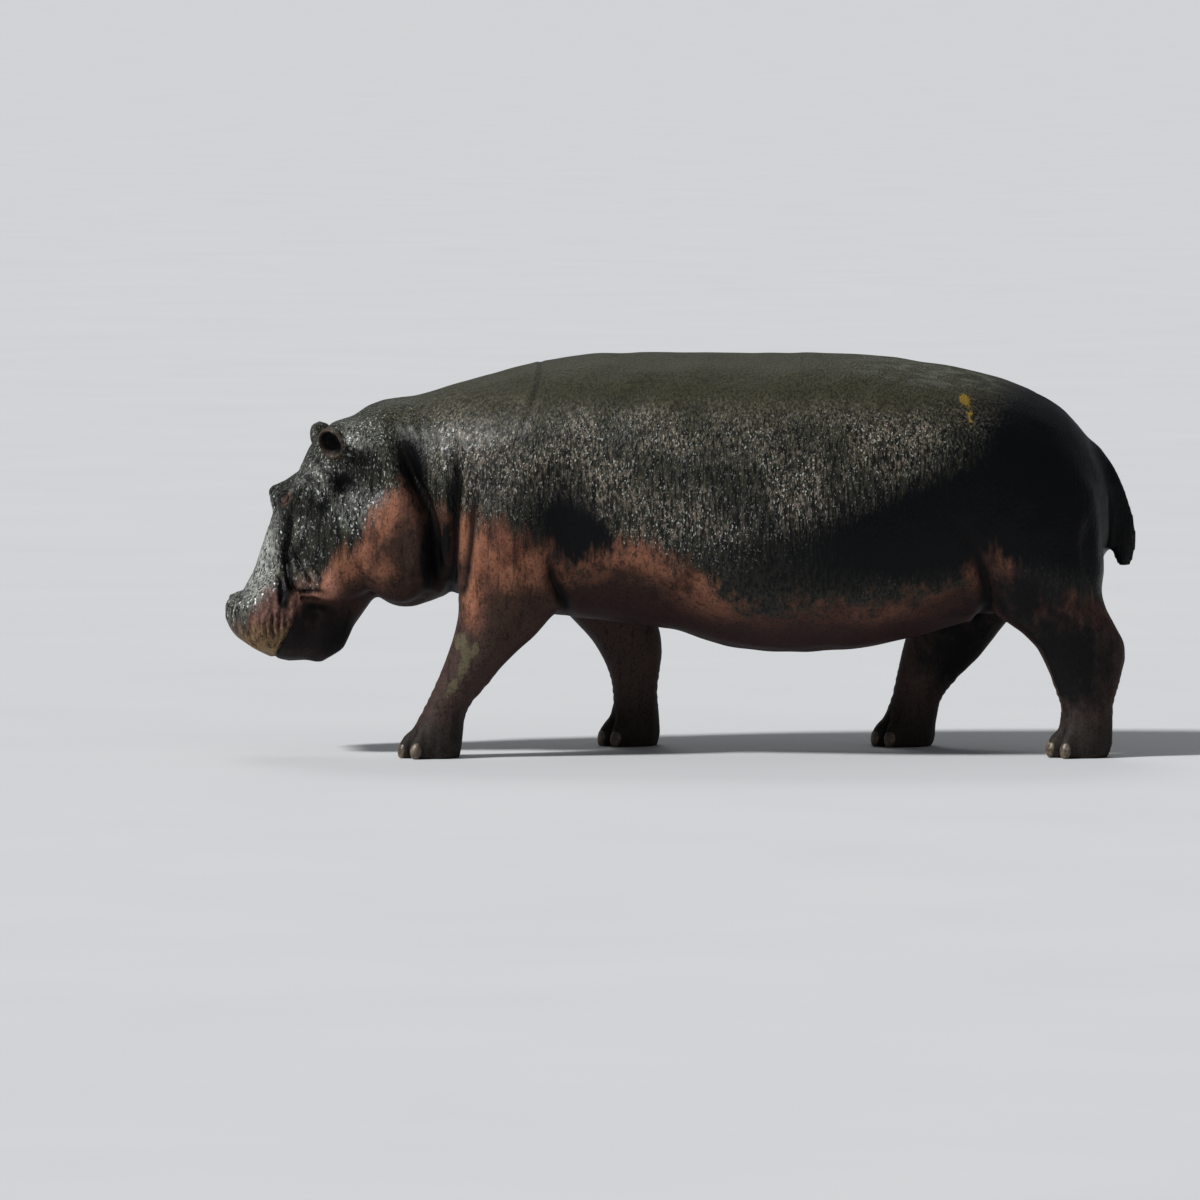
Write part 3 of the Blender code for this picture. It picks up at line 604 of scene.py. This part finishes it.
# Painted reflection: besides the coat, these patches paint a pale sheen into the colour, strongest
# on the bridge of the nose.
FILM_AND_SHEEN_PATCHES = (  # where a film of water glints
    ((-1.64, 0.80), (0.06, 0.16), 1.6), ((-1.70, 0.66), (0.06, 0.08), 1.0),
    ((-1.77, 0.57), (0.06, 0.06), 0.8), ((-1.47, 0.70), (0.045, 0.06), 0.9),
    ((-1.28, 0.98), (0.11, 0.10), 0.9), ((-1.44, 1.10), (0.09, 0.08), 0.8),
    ((-1.26, 1.25), (0.11, 0.06), 0.9), ((-0.90, 1.18), (0.05, 0.12), 0.6),
    ((-1.50, 0.90), (0.05, 0.08), 0.6), ((0.05, 1.15), (0.60, 0.20), 0.2))
PINK_SKIN = (  # the puffs at the corner of the mouth
    ((-1.505, 0.620), (0.010, 0.040), 0.7), ((-1.470, 0.680), (0.035, 0.040), 0.4),
    ((-1.440, 0.628), (0.060, 0.012), 0.8), ((-1.375, 0.675), (0.030, 0.042), 0.9))
MUD_PATCHES = (((-0.868, 0.460), (0.035, 0.050), 1.2),)
MUD_ROUTE = ((-0.810, 0.440), (-0.850, 0.370), (-0.890, 0.300), (-0.920, 0.250))
MUD_WIDTH = 0.028
SMEARED = (  # a yellow smear that has run down
    ((1.108, 1.412), (0.022, 0.024), 1.0), ((1.128, 1.362), (0.014, 0.024), 1.0),
    ((1.135, 1.318), (0.009, 0.020), 0.8))
SHEENLESS_REACH, PINK_LID = 0.042, 0.030  # reach from the middle of the eye
EAR_REACH = 0.068
DARKEST_HOLLOW = 0.0035  # how far a hollow lies below the hide around it where it is darkest
DARKEST_FOLD = 0.014  # depth from which a fold is darkest


def patches(points, table):
    """Where the patches of a table lie, added up, at each point."""
    return sum(hump(points[:, 0], points[:, 2], *patch) for patch in table)


def mark(obj, name, numbers):
    """Keeps one number for each point of a mesh, for its material to read."""
    kept = obj.data.attributes.new(name, "FLOAT", "POINT")
    kept.data.foreach_set("value", np.asarray(numbers, dtype=np.float32))


P, N = places(skin), outward(skin)
ahead, left, up = in_head(P)
on_head = between(-P[:, 0], 1.05, 1.16)
near_eye = np.exp(-((eye_gap(P) / SHEENLESS_REACH) ** 4))
near_side = between(-P[:, 1], 0.0, 0.05)
mark(skin, "above_line", P[:, 2] - np.interp(P[:, 0], *zip(*WET_LINE)))
mark(skin, "soaked_shaded", patches(P, SOAKED_AND_SHADED))
mark(skin, "bare_lit", patches(P, BARE_AND_LIT))
mark(skin, "sheen_film", patches(P, FILM_AND_SHEEN_PATCHES) * (1 - near_eye))
mark(skin, "stained_shaded", patches(P, STAINED_AND_SHADED) * side_only(N))
mark(skin, "downward", between(-N[:, 2], 0.40, 0.92))

joins = np.empty(len(skin.data.edges) * 2, dtype=np.int64)
skin.data.edges.foreach_get("vertices", joins)
joins = joins.reshape(-1, 2)
count = np.bincount(joins.ravel(), minlength=len(P)).astype(float)


def spread(values, steps):
    """Each point's value averaged with its neighbours', some steps far."""
    for _ in range(steps):
        total = np.zeros_like(values)
        np.add.at(total, joins[:, 0], values[joins[:, 1]])
        np.add.at(total, joins[:, 1], values[joins[:, 0]])
        values = 0.5 * values + 0.5 * total / (count[:, None] if values.ndim > 1 else count)
    return values


fold = np.zeros(len(P))
for across, level, on_part, creases in ((P[:, 0], P[:, 2], 1, BODY_CREASES),
                                        (ahead, up, on_head * side_only(N), HEAD_CREASES)):
    for stations, depth, width, puff, side, ends in creases:
        gap, _, share = beside(across, level, stations)
        dark = min(depth / DARKEST_FOLD, 1) * np.exp(-((gap / (1.25 * width)) ** 2))
        fold = np.maximum(fold, dark * tapered(share, *ends) * on_part)
mark(skin, "fold", fold)

hollow = ((spread(P, 10) - P) * N).sum(axis=1)
mark(skin, "hollow", np.clip(spread(hollow, 2) / DARKEST_HOLLOW, -1, 1))

lower_lid = np.exp(-((eye_gap(P) / PINK_LID) ** 4)) * between(0.002 - up, 0, 0.010)
mark(skin, "pink", np.clip(0.6 * lower_lid + patches(P, PINK_SKIN) * side_only(N), 0, 1))
in_ear = np.zeros(len(P))
for ear, sign in zip(ears, (-1, 1)):
    opening = np.array(EAR_OPEN_WAY * Vector((1, sign, 1)))
    deep = (1.25 - np.linalg.norm(P - ear, axis=1) / EAR_REACH).clip(0, 1)
    in_ear = np.maximum(in_ear, deep * between(N @ opening, 0.0, 0.4))
mark(skin, "in_ear", spread(in_ear, 2))
hand = beside(ahead, up, LIP_LINE)[1]
on_lip = between(ahead, 0.26, 0.34) * between(-0.04 - up, 0, 0.08)
mark(skin, "lip", on_lip * (hand >= 0) * on_head)
mark(skin, "jaw", between(ahead, 0.22, 0.34) * (hand < 0) * on_head)
along, across, out = beside_slit(P)
oval = (along / 0.030) ** 2 + (across / 0.010) ** 2
mark(skin, "nostril", np.exp(-oval) * (np.abs(out) < 0.04))

mud = np.exp(-((beside(P[:, 0], P[:, 2], MUD_ROUTE)[0] / MUD_WIDTH) ** 2))
mark(skin, "mud", (mud + patches(P, MUD_PATCHES)) * near_side)
mark(skin, "smear", np.clip(patches(P, SMEARED), 0, 1) * near_side)
mark(skin, "dried", between(N[:, 2], 0.75, 0.97) * between(P[:, 0], 0.55, 0.90)
     * (1 - between(P[:, 0], 1.18, 1.35)))

# ------------------------------------------------------------------ the hide's finish
# Wet hide is near black with an olive cast, pebbled, and glints where water films the pebbles; its
# sheen and glints are partly painted into the colour.
# Dry hide is chestnut with a soft sheen; folds are painted darker, as painted shade and the dirt
# and water they keep.


def paint(red, green, blue):
    """A colour given as it looks on a screen, from 0 to 255."""
    parts = [part / 255 for part in (red, green, blue)]
    return (*(p / 12.92 if p <= 0.04045 else ((p + 0.055) / 1.055) ** 2.4 for p in parts), 1)


class Share:
    """A number that varies over a finish; arithmetic on it adds Math nodes."""

    def __init__(self, finish, socket):
        self.finish, self.socket = finish, socket

    def math(self, operation, first, second):
        node = self.finish.node("ShaderNodeMath", {"operation": operation}, {0: first, 1: second})
        return Share(self.finish, node.outputs[0])

    def __add__(self, other):
        return self.math("ADD", self, other)

    def __sub__(self, other):
        return self.math("SUBTRACT", self, other)

    def __rsub__(self, other):
        return self.math("SUBTRACT", other, self)

    def __mul__(self, other):
        return self.math("MULTIPLY", self, other)

    __radd__, __rmul__ = __add__, __mul__


class Finish:
    """A material with one Principled shader, and the nodes that feed it."""

    def __init__(self, name, **constants):
        self.material = bpy.data.materials.new(name)
        self.material.use_nodes = True
        self.tree = self.material.node_tree
        self.shader = self.tree.nodes["Principled BSDF"]
        self.place = self.node("ShaderNodeTexCoord", {}, {}).outputs["Object"]
        for key, value in constants.items():
            self.shader.inputs[key.replace("_", " ")].default_value = value

    def join(self, value, socket):
        if isinstance(value, Share):
            value = value.socket
        if isinstance(value, bpy.types.NodeSocket):
            self.tree.links.new(value, socket)
        else:
            socket.default_value = value

    def node(self, kind, settings, sockets):
        made = self.tree.nodes.new(kind)
        for key, value in settings.items():
            setattr(made, key, value)
        for key, value in sockets.items():
            self.join(value, made.inputs[key])
        return made

    def stretched(self, stretch):
        product = self.node("ShaderNodeVectorMath", {"operation": "MULTIPLY"},
                            {0: self.place, 1: stretch})
        return product.outputs[0]

    def noise(self, scale, detail=3, roughness=0.5, stretch=(1, 1, 1)):
        node = self.node("ShaderNodeTexNoise", {}, {
            "Vector": self.stretched(stretch), "Scale": scale, "Detail": detail,
            "Roughness": roughness})
        return Share(self, node.outputs["Fac"])

    def cells(self, scale, stretch=(1, 1, 1)):
        node = self.node("ShaderNodeTexVoronoi", {}, {
            "Vector": self.stretched(stretch), "Scale": scale})
        return Share(self, node.outputs["Distance"])

    def kept(self, name):
        node = self.node("ShaderNodeAttribute", {"attribute_name": name}, {})
        return Share(self, node.outputs["Fac"])

    def step(self, value, low, high):
        node = self.node("ShaderNodeMapRange", {"interpolation_type": "SMOOTHSTEP"}, {
            "Value": value, "From Min": low, "From Max": high})
        return Share(self, node.outputs[0])

    def mix(self, first, second, share, way="MIX"):
        node = self.node("ShaderNodeMix", {"data_type": "RGBA", "blend_type": way}, {
            0: share, 6: first, 7: second})
        return node.outputs[2]

    def feed(self, **links):
        for key, value in links.items():
            self.join(value, self.shader.inputs[key.replace("_", " ")])

    def bump(self, height, strength, distance):
        node = self.node("ShaderNodeBump", {}, {
            "Strength": strength, "Distance": distance, "Height": height})
        self.feed(Normal=node.outputs[0])


# The near-black wet colour darkens the ribs and trickles, and is also the painted shadow of the
# soaked hollows.
WET_DARK, WET_OLIVE, WET_AND_SHADOW_BLACK = paint(38, 39, 31), paint(54, 54, 39), paint(3, 4, 6)
PEBBLE_AND_GLINT_GREY, FILM_SHEEN_GREY = paint(126, 115, 104), paint(124, 125, 118)
GLINT_WHITE = paint(206, 210, 204)
CHESTNUT, RUSSET, DAMP_AND_SHADE_BROWN = paint(134, 90, 70), paint(98, 62, 48), paint(56, 40, 33)
LIT_CHESTNUT_HIGHLIGHT, PALE_SHEEN = paint(160, 108, 84), paint(178, 180, 174)
LEG_BROWN, BELLY_BROWN_AND_SHADE, FOOT_GREY = paint(62, 48, 43), paint(45, 28, 26), paint(40, 36, 32)
LIP_OLIVE, LIP_RUSSET, DARK_MARK_AND_SHADE_BROWN = paint(130, 106, 76), paint(110, 80, 71), paint(26, 20, 20)
PINK, EAR_BROWN, EAR_BLACK = paint(196, 140, 122), paint(66, 53, 44), paint(4, 3, 4)
MUD_GREY, STAIN_AND_SHADE_BLACK = paint(86, 80, 62), paint(12, 11, 13)
SMEAR_YELLOW, DRIED_GREY = paint(116, 94, 36), paint(104, 106, 96)

# These three multiply the colour below them.
HOLLOW_SHADE, SWELL_LIGHT = (0.30, 0.27, 0.25, 1), (1.22, 1.20, 1.16, 1)
PORE_SHADE = (0.58, 0.58, 0.58, 1)

hide = Finish("wet_hide", Specular_IOR_Level=0.11, Coat_Roughness=0.32, Coat_IOR=2.1)
shares = hide.node("ShaderNodeSeparateXYZ", {}, {0: hide.place}).outputs
along_x, height = Share(hide, shares["X"]), Share(hide, shares["Z"])

# The patterns, from the broadest to the finest, and the marks kept at the points.
broad = hide.noise(2.3, 3)
patchy = hide.noise(9, 4, 0.6)
drips = hide.noise(14, 4, 0.6, (1, 1, 0.13))
mottles = hide.noise(26, 4, 0.65, (1, 1, 0.6))
trickles = hide.noise(48, 3, 0.6, (1, 1, 0.08))
streaks = hide.noise(88, 5, 0.75, (1, 1, 0.5))
ribs = hide.noise(95, 2, 0.5, (1, 1, 0.11))
pebbles = hide.cells(110, (1, 1, 0.55))
grain = hide.noise(170, 4, 0.6)
hollow = hide.kept("hollow")
above = hide.kept("above_line")
sheen_water, bare_lit, in_fold = hide.kept("sheen_film"), hide.kept("bare_lit"), hide.kept("fold")

# Where the hide is wet, soaked or in painted shadow, on top of the back and lit in clusters.
line = above + (drips - 0.5) * 0.26 + (trickles - 0.5) * 0.16 + (broad - 0.5) * 0.12
wet = hide.step(line, -0.06, 0.06)
crest = hide.step(streaks, 0.47, 0.58)
clusters = hide.step(hide.noise(4.5, 4, 0.6), 0.38, 0.60)
on_top = hide.step(height + (broad - 0.5) * 0.2, 1.28, 1.44)
soaked_shaded = hide.kept("soaked_shaded") + (patchy - 0.5) * 0.5 + (ribs - 0.5) * 0.5
soaked_shaded = hide.step(soaked_shaded, 0.1, 1.05)

# Wet hide: olive above, film as painted sheen, pebbles, dark ribs and trickles, painted shadow,
# drops as painted glints.
upper = hide.mix(WET_DARK, WET_OLIVE, hide.step(height + (patchy - 0.5) * 0.5, 1.00, 1.50))
# Painted reflection: a grey sheen is painted where the film lies.
sheen_film = hide.step(sheen_water + (patchy - 0.5) * 0.6, 0.1, 0.9)
upper = hide.mix(upper, FILM_SHEEN_GREY, sheen_film * hide.step(streaks, 0.38, 0.56) * 0.75)
painted_sheen = hide.step(sheen_water + (patchy - 0.5) * 0.5, 0.8, 1.5)
band = hide.step(height + (broad - 0.5) * 0.4, 0.80, 1.02) * (1 - hide.step(height, 1.32, 1.46))
# Painted highlight as well as dry skin: the pebble crests on the flank are painted pale
# grey-brown.
pebbled_and_glinting = crest * band * (0.10 + clusters * 0.75) * hide.step(along_x, -1.25, -0.85)
upper = hide.mix(upper, PEBBLE_AND_GLINT_GREY, pebbled_and_glinting)
upper = hide.mix(upper, WET_AND_SHADOW_BLACK, hide.step(ribs, 0.46, 0.60) * (0.80 - on_top * 0.38))
upper = hide.mix(upper, WET_AND_SHADOW_BLACK, hide.step(trickles, 0.50, 0.66) * (0.5 - on_top * 0.25))
# Painted reflection: a pale sheen where the film is thickest.
upper = hide.mix(upper, PALE_SHEEN, painted_sheen * (0.05 + hide.step(streaks, 0.46, 0.56) * 0.66))
# Painted shadow: the soaked hollows go near black.
upper = hide.mix(upper, WET_AND_SHADOW_BLACK, soaked_shaded)
# Painted glints: white drops and specks where the film lies and along the flank.
painted_glints = hide.step(hide.noise(100, 2, 0.5, (1, 1, 0.6)), 0.63, 0.68)
painted_glints = painted_glints * hide.step(sheen_water + (patchy - 0.5) * 0.4, 0.05, 0.55)
glint_specks = hide.step(hide.noise(165, 2, 0.5, (1, 1, 0.45)), 0.62, 0.68)
glint_specks = glint_specks * hide.step(height + (broad - 0.5) * 0.4, 0.62, 0.95) * (0.25 + clusters * 0.45)
painted_glints = painted_glints + glint_specks * (1 - hide.step(height, 1.34, 1.46))
upper = hide.mix(upper, GLINT_WHITE, painted_glints * (1 - soaked_shaded) * (1 - on_top) * 0.85)
dry_patches = hide.step(hide.noise(24, 5, 0.7, (0.4, 1, 1)), 0.48, 0.60)
upper = hide.mix(upper, DRIED_GREY, hide.kept("dried") * dry_patches * 0.4)

# Dry hide, then legs, belly with painted shade beneath, feet, the upper lip, and the jaw in
# painted shade.
# Painted light and shade: dry skin is chestnut in the lit patches and near the wet line, and a
# darker brown away from them, as dampness and painted shade.
clean_and_lit = bare_lit + hide.step(above, -0.22, -0.02) * 0.35 + (patchy - 0.5) * 0.7
lower = hide.mix(RUSSET, CHESTNUT, hide.step(patchy + (broad - 0.5) * 0.4, 0.35, 0.62))
lower = hide.mix(DAMP_AND_SHADE_BROWN, lower, hide.step(clean_and_lit, 0.05, 0.70))
scuffs = hide.noise(30, 5, 0.7, (1, 1, 0.5))
lower = hide.mix(lower, DARK_MARK_AND_SHADE_BROWN, hide.step(scuffs, 0.50, 0.66) * 0.65)
# Painted light: on the lit patches the scuffs clear and the chestnut is painted brightest.
lower = hide.mix(lower, CHESTNUT, hide.step(0.5 - scuffs, 0.02, 0.14) * bare_lit * 0.6)
lower = hide.mix(lower, LIT_CHESTNUT_HIGHLIGHT, hide.step(bare_lit + patchy - 0.5, 0.5, 1.2) * 0.6)
damp_leg = 1 - hide.step(height + (broad - 0.5) * 0.3, 0.38, 0.66)
lower = hide.mix(lower, LEG_BROWN, damp_leg * (1 - bare_lit * 0.8))
# Painted shade: where the hide faces down it turns dark maroon, the belly's own colour deepened as
# painted shade.
lower = hide.mix(lower, BELLY_BROWN_AND_SHADE, hide.kept("downward"))
lower = hide.mix(lower, FOOT_GREY, 1 - hide.step(height + (patchy - 0.5) * 0.1, 0.06, 0.26))
wrinkled = hide.noise(44, 4, 0.6, (1, 1, 0.25))
lip = hide.mix(LIP_RUSSET, LIP_OLIVE, 1 - hide.step(height + (mottles - 0.5) * 0.16, 0.44, 0.56))
lip = hide.mix(lip, DAMP_AND_SHADE_BROWN, hide.step(mottles, 0.48, 0.62) * 0.6)
lip = hide.mix(lip, DARK_MARK_AND_SHADE_BROWN, hide.step(wrinkled, 0.52, 0.66) * 0.75)
lower = hide.mix(lower, lip, hide.kept("lip"))
# Painted shade: the lower jaw under the overhanging lip is painted near black.
lower = hide.mix(lower, DARK_MARK_AND_SHADE_BROWN, hide.kept("jaw") * hide.step(patchy, 0.15, 0.45))
lower = hide.mix(lower, DARK_MARK_AND_SHADE_BROWN, hide.step(trickles, 0.54, 0.66) * 0.5)

# Both together, with stains and painted shade, and painted shade in folds, hollows, pores, ears
# and nostrils.
colour = hide.mix(lower, upper, wet)
stain_and_shade = hide.kept("stained_shaded") + (mottles - 0.5) * 0.6
# Stains, and painted shade on the jaw and in the neck's folds.
colour = hide.mix(colour, STAIN_AND_SHADE_BLACK, hide.step(stain_and_shade, 0.25, 0.70))
colour = hide.mix(colour, PINK, hide.kept("pink") * hide.step(patchy, 0.25, 0.50) * 0.8)
muddy = hide.kept("mud") + (hide.noise(42, 5, 0.7, (1, 1, 0.5)) - 0.5) * 1.8
colour = hide.mix(colour, MUD_GREY, hide.step(muddy, 0.60, 0.95) * 0.8)
colour = hide.mix(colour, SMEAR_YELLOW, hide.step(hide.kept("smear") + (grain - 0.5), 0.4, 0.6))
# Painted shade: the folds are painted near black along their floors.
colour = hide.mix(colour, STAIN_AND_SHADE_BLACK, in_fold * 0.85)
colour = hide.mix(colour, HOLLOW_SHADE, hide.step(hollow, 0.05, 0.9), "MULTIPLY")
colour = hide.mix(colour, SWELL_LIGHT, hide.step(0 - hollow, 0.1, 1.0), "MULTIPLY")
pores = hide.step(hide.noise(118, 3, 0.6, (1, 1, 0.8)), 0.50, 0.62)
colour = hide.mix(colour, PORE_SHADE, pores * (1 - wet * 0.6), "MULTIPLY")
in_ear = hide.kept("in_ear")
colour = hide.mix(colour, EAR_BROWN, hide.step(in_ear, 0.10, 0.30) * 0.8)
colour = hide.mix(colour, EAR_BLACK, hide.step(in_ear, 0.36, 0.62))
colour = hide.mix(colour, STAIN_AND_SHADE_BLACK, hide.kept("nostril"))

# The gloss of wet and dry hide, the glints of the film and the fine relief.
roughness = 0.62 - wet * 0.24 + wet * on_top * 0.16 + (grain - 0.5) * 0.18 - crest * wet * 0.06
roughness = roughness + in_ear * 0.5
glints = hide.step(hide.noise(92, 2, 0.5, (1, 1, 0.5)), 0.58, 0.66)
film = wet * (1 - soaked_shaded) * (1 - in_ear) * (1 - in_fold) * (1 - on_top * 0.7)
film = film * (0.02 + glints * (0.07 + sheen_film * 0.75))
hide.feed(Base_Color=colour, Roughness=roughness, Coat_Weight=film)
relief = (0.55 - pebbles) * (0.30 + wet * 0.5) + streaks * (0.25 + wet * 0.7) + grain * 0.30
relief = relief + ribs * (0.15 + wet * 1.7 - wet * on_top * 0.9) + patchy * 0.5
hide.bump(relief, 0.5, 0.004)

skin.data.materials.clear()
skin.data.materials.append(hide.material)
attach(skin, "root")
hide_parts(*FLESH)

# ------------------------------------------------------------------ eyes
# Each eyeball is a wet ball with a slightly raised clear front over a dark brown iris, whose
# pupil is a level oval.

IRIS_BROWN, IRIS_DARK, IRIS_EDGE = paint(52, 31, 19), paint(27, 16, 11), paint(10, 6, 5)
EYE_WHITE, PUPIL_BLACK = paint(74, 50, 42), paint(5, 4, 4)
FRONT_RISE, FRONT_REACH = 0.0007, 0.45  # the clear front; the reach is an angle
PUPIL_LENGTH = 1.5  # for a height of 1

wet_eye = Finish("wet_eye", Roughness=0.08, Coat_Weight=1.0, Coat_Roughness=0.03)
spokes = wet_eye.noise(420, 3)
ring = wet_eye.kept("from_gaze")
tint = wet_eye.mix(IRIS_BROWN, IRIS_DARK, wet_eye.step(spokes, 0.35, 0.65))
tint = wet_eye.mix(tint, IRIS_EDGE, wet_eye.step(ring, 0.44, 0.56))
tint = wet_eye.mix(tint, EYE_WHITE, wet_eye.step(ring, 0.60, 0.75))
tint = wet_eye.mix(PUPIL_BLACK, tint, wet_eye.step(wet_eye.kept("from_pupil"), 0.15, 0.19))
wet_eye.feed(Base_Color=tint)

for side, sign in (("left", 1), ("right", -1)):
    gaze, fore, top = eye_ways(sign)
    bm = bmesh.new()
    bmesh.ops.create_uvsphere(bm, u_segments=64, v_segments=40, radius=EYE_RADIUS)
    for vert in bm.verts:
        out = vert.co.normalized()
        vert.co += out * FRONT_RISE * math.exp(-((out.angle(gaze) / FRONT_REACH) ** 2))
    bmesh.ops.translate(bm, verts=bm.verts, vec=eye_middles[side])
    eyeball = made(f"eyeball_{side}", bm)
    shade_smooth(eyeball)
    way = outward(eyeball)
    along, high = way @ np.array(fore), way @ np.array(top)
    front = way @ np.array(gaze) > 0
    mark(eyeball, "from_pupil", np.where(front, np.hypot(along / PUPIL_LENGTH, high), 1))
    mark(eyeball, "from_gaze", np.where(front, np.hypot(along, high), 1))
    eyeball.data.materials.append(wet_eye.material)
    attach(eyeball, "root")
    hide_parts(f"eye_{side}")

# ------------------------------------------------------------------ toenails
# Four blunt horn nails to a foot, grown out in low ridges and scuffed pale at the edge.

HORN_DARK, HORN_PALE, HORN_LINE = paint(66, 56, 46), paint(118, 102, 82), paint(36, 31, 27)
NAIL_SHARE = 1.03  # makes up for what the smoothing takes off

bm = bmesh.new()
for node in NAILS:
    add_copy(bm, node, NAIL_SHARE)
toenails = made("toenails", bm)
applied(toenails, "SUBSURF", levels=2, render_levels=2)
shade_smooth(toenails)
horn = Finish("nail_horn", Specular_IOR_Level=0.5)
rings = horn.noise(240, 3, 0.6, (0.35, 0.35, 1))
worn = horn.noise(45, 4, 0.6)
tint = horn.mix(HORN_DARK, HORN_PALE, horn.step(worn, 0.40, 0.68))
tint = horn.mix(tint, HORN_LINE, horn.step(rings, 0.50, 0.72) * 0.7)
horn.feed(Base_Color=tint, Roughness=0.42 + (worn - 0.5) * 0.3)
horn.bump(rings + worn * 0.5, 0.5, 0.002)
toenails.data.materials.clear()
toenails.data.materials.append(horn.material)
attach(toenails, "root")
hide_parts(*NAILS)

# ------------------------------------------------------------------ floor, light and camera
# A plain pale floor runs out of sight. A soft key light stands high on the left in front, with a
# weak fill on the right in front and a rim light high behind.

FLOOR_REACH = 900
FLOOR_PALE, FLOOR_GREY = paint(205, 206, 207), paint(198, 199, 201)
LIGHTS = (  # name, power, softness in degrees, way it shines
    ("key", 3.8, 8, (0.66, 0.34, -0.68)),
    ("fill", 0.12, 60, (-0.70, 0.60, -0.35)),
    ("rim", 0.4, 20, (0.10, -0.75, -0.80)))
SKY, SKY_STRENGTH = (0.90, 0.94, 1.0, 1), 0.20

bm = bmesh.new()
bmesh.ops.create_grid(bm, x_segments=1, y_segments=1, size=FLOOR_REACH)
floor = made("floor", bm)
studio = Finish("pale_floor", Roughness=0.85, Specular_IOR_Level=0.2)
studio.feed(Base_Color=studio.mix(FLOOR_PALE, FLOOR_GREY, studio.noise(0.8, 3)))
floor.data.materials.append(studio.material)

for name, power, softness, way in LIGHTS:
    lamp = bpy.data.lights.new(name, "SUN")
    lamp.energy = power
    lamp.angle = math.radians(softness)
    light = bpy.data.objects.new(name, lamp)
    light.rotation_euler = Vector(way).to_track_quat("-Z", "Y").to_euler()
    bpy.context.scene.collection.objects.link(light)

world = bpy.data.worlds.new("studio")
bpy.context.scene.world = world
world.use_nodes = True
sky = world.node_tree.nodes["Background"]
sky.inputs["Color"].default_value = SKY
sky.inputs["Strength"].default_value = SKY_STRENGTH

VIEW_WIDTH, DISTANCE, RISE = 4.75, 45.0, math.radians(3.5)
AIM_AHEAD, AIM_HEIGHT = 0.32, 0.60  # the view's middle, ahead of the body's and above the floor
SENSOR_WIDTH = 36
low, high = cad_box
camera_data = bpy.data.cameras.new("camera")
camera_data.sensor_width = SENSOR_WIDTH
camera_data.lens = SENSOR_WIDTH * DISTANCE / VIEW_WIDTH
camera_data.clip_end = 3000
camera = bpy.data.objects.new("camera", camera_data)
aim = Vector(((low.x + high.x) / 2 - AIM_AHEAD, 0, AIM_HEIGHT))
back = Vector((0, -math.cos(RISE), math.sin(RISE)))
camera.location = aim + back * DISTANCE
camera.rotation_euler = back.to_track_quat("Z", "Y").to_euler()
bpy.context.scene.collection.objects.link(camera)
bpy.context.scene.camera = camera
bpy.context.scene.view_settings.view_transform = "Standard"
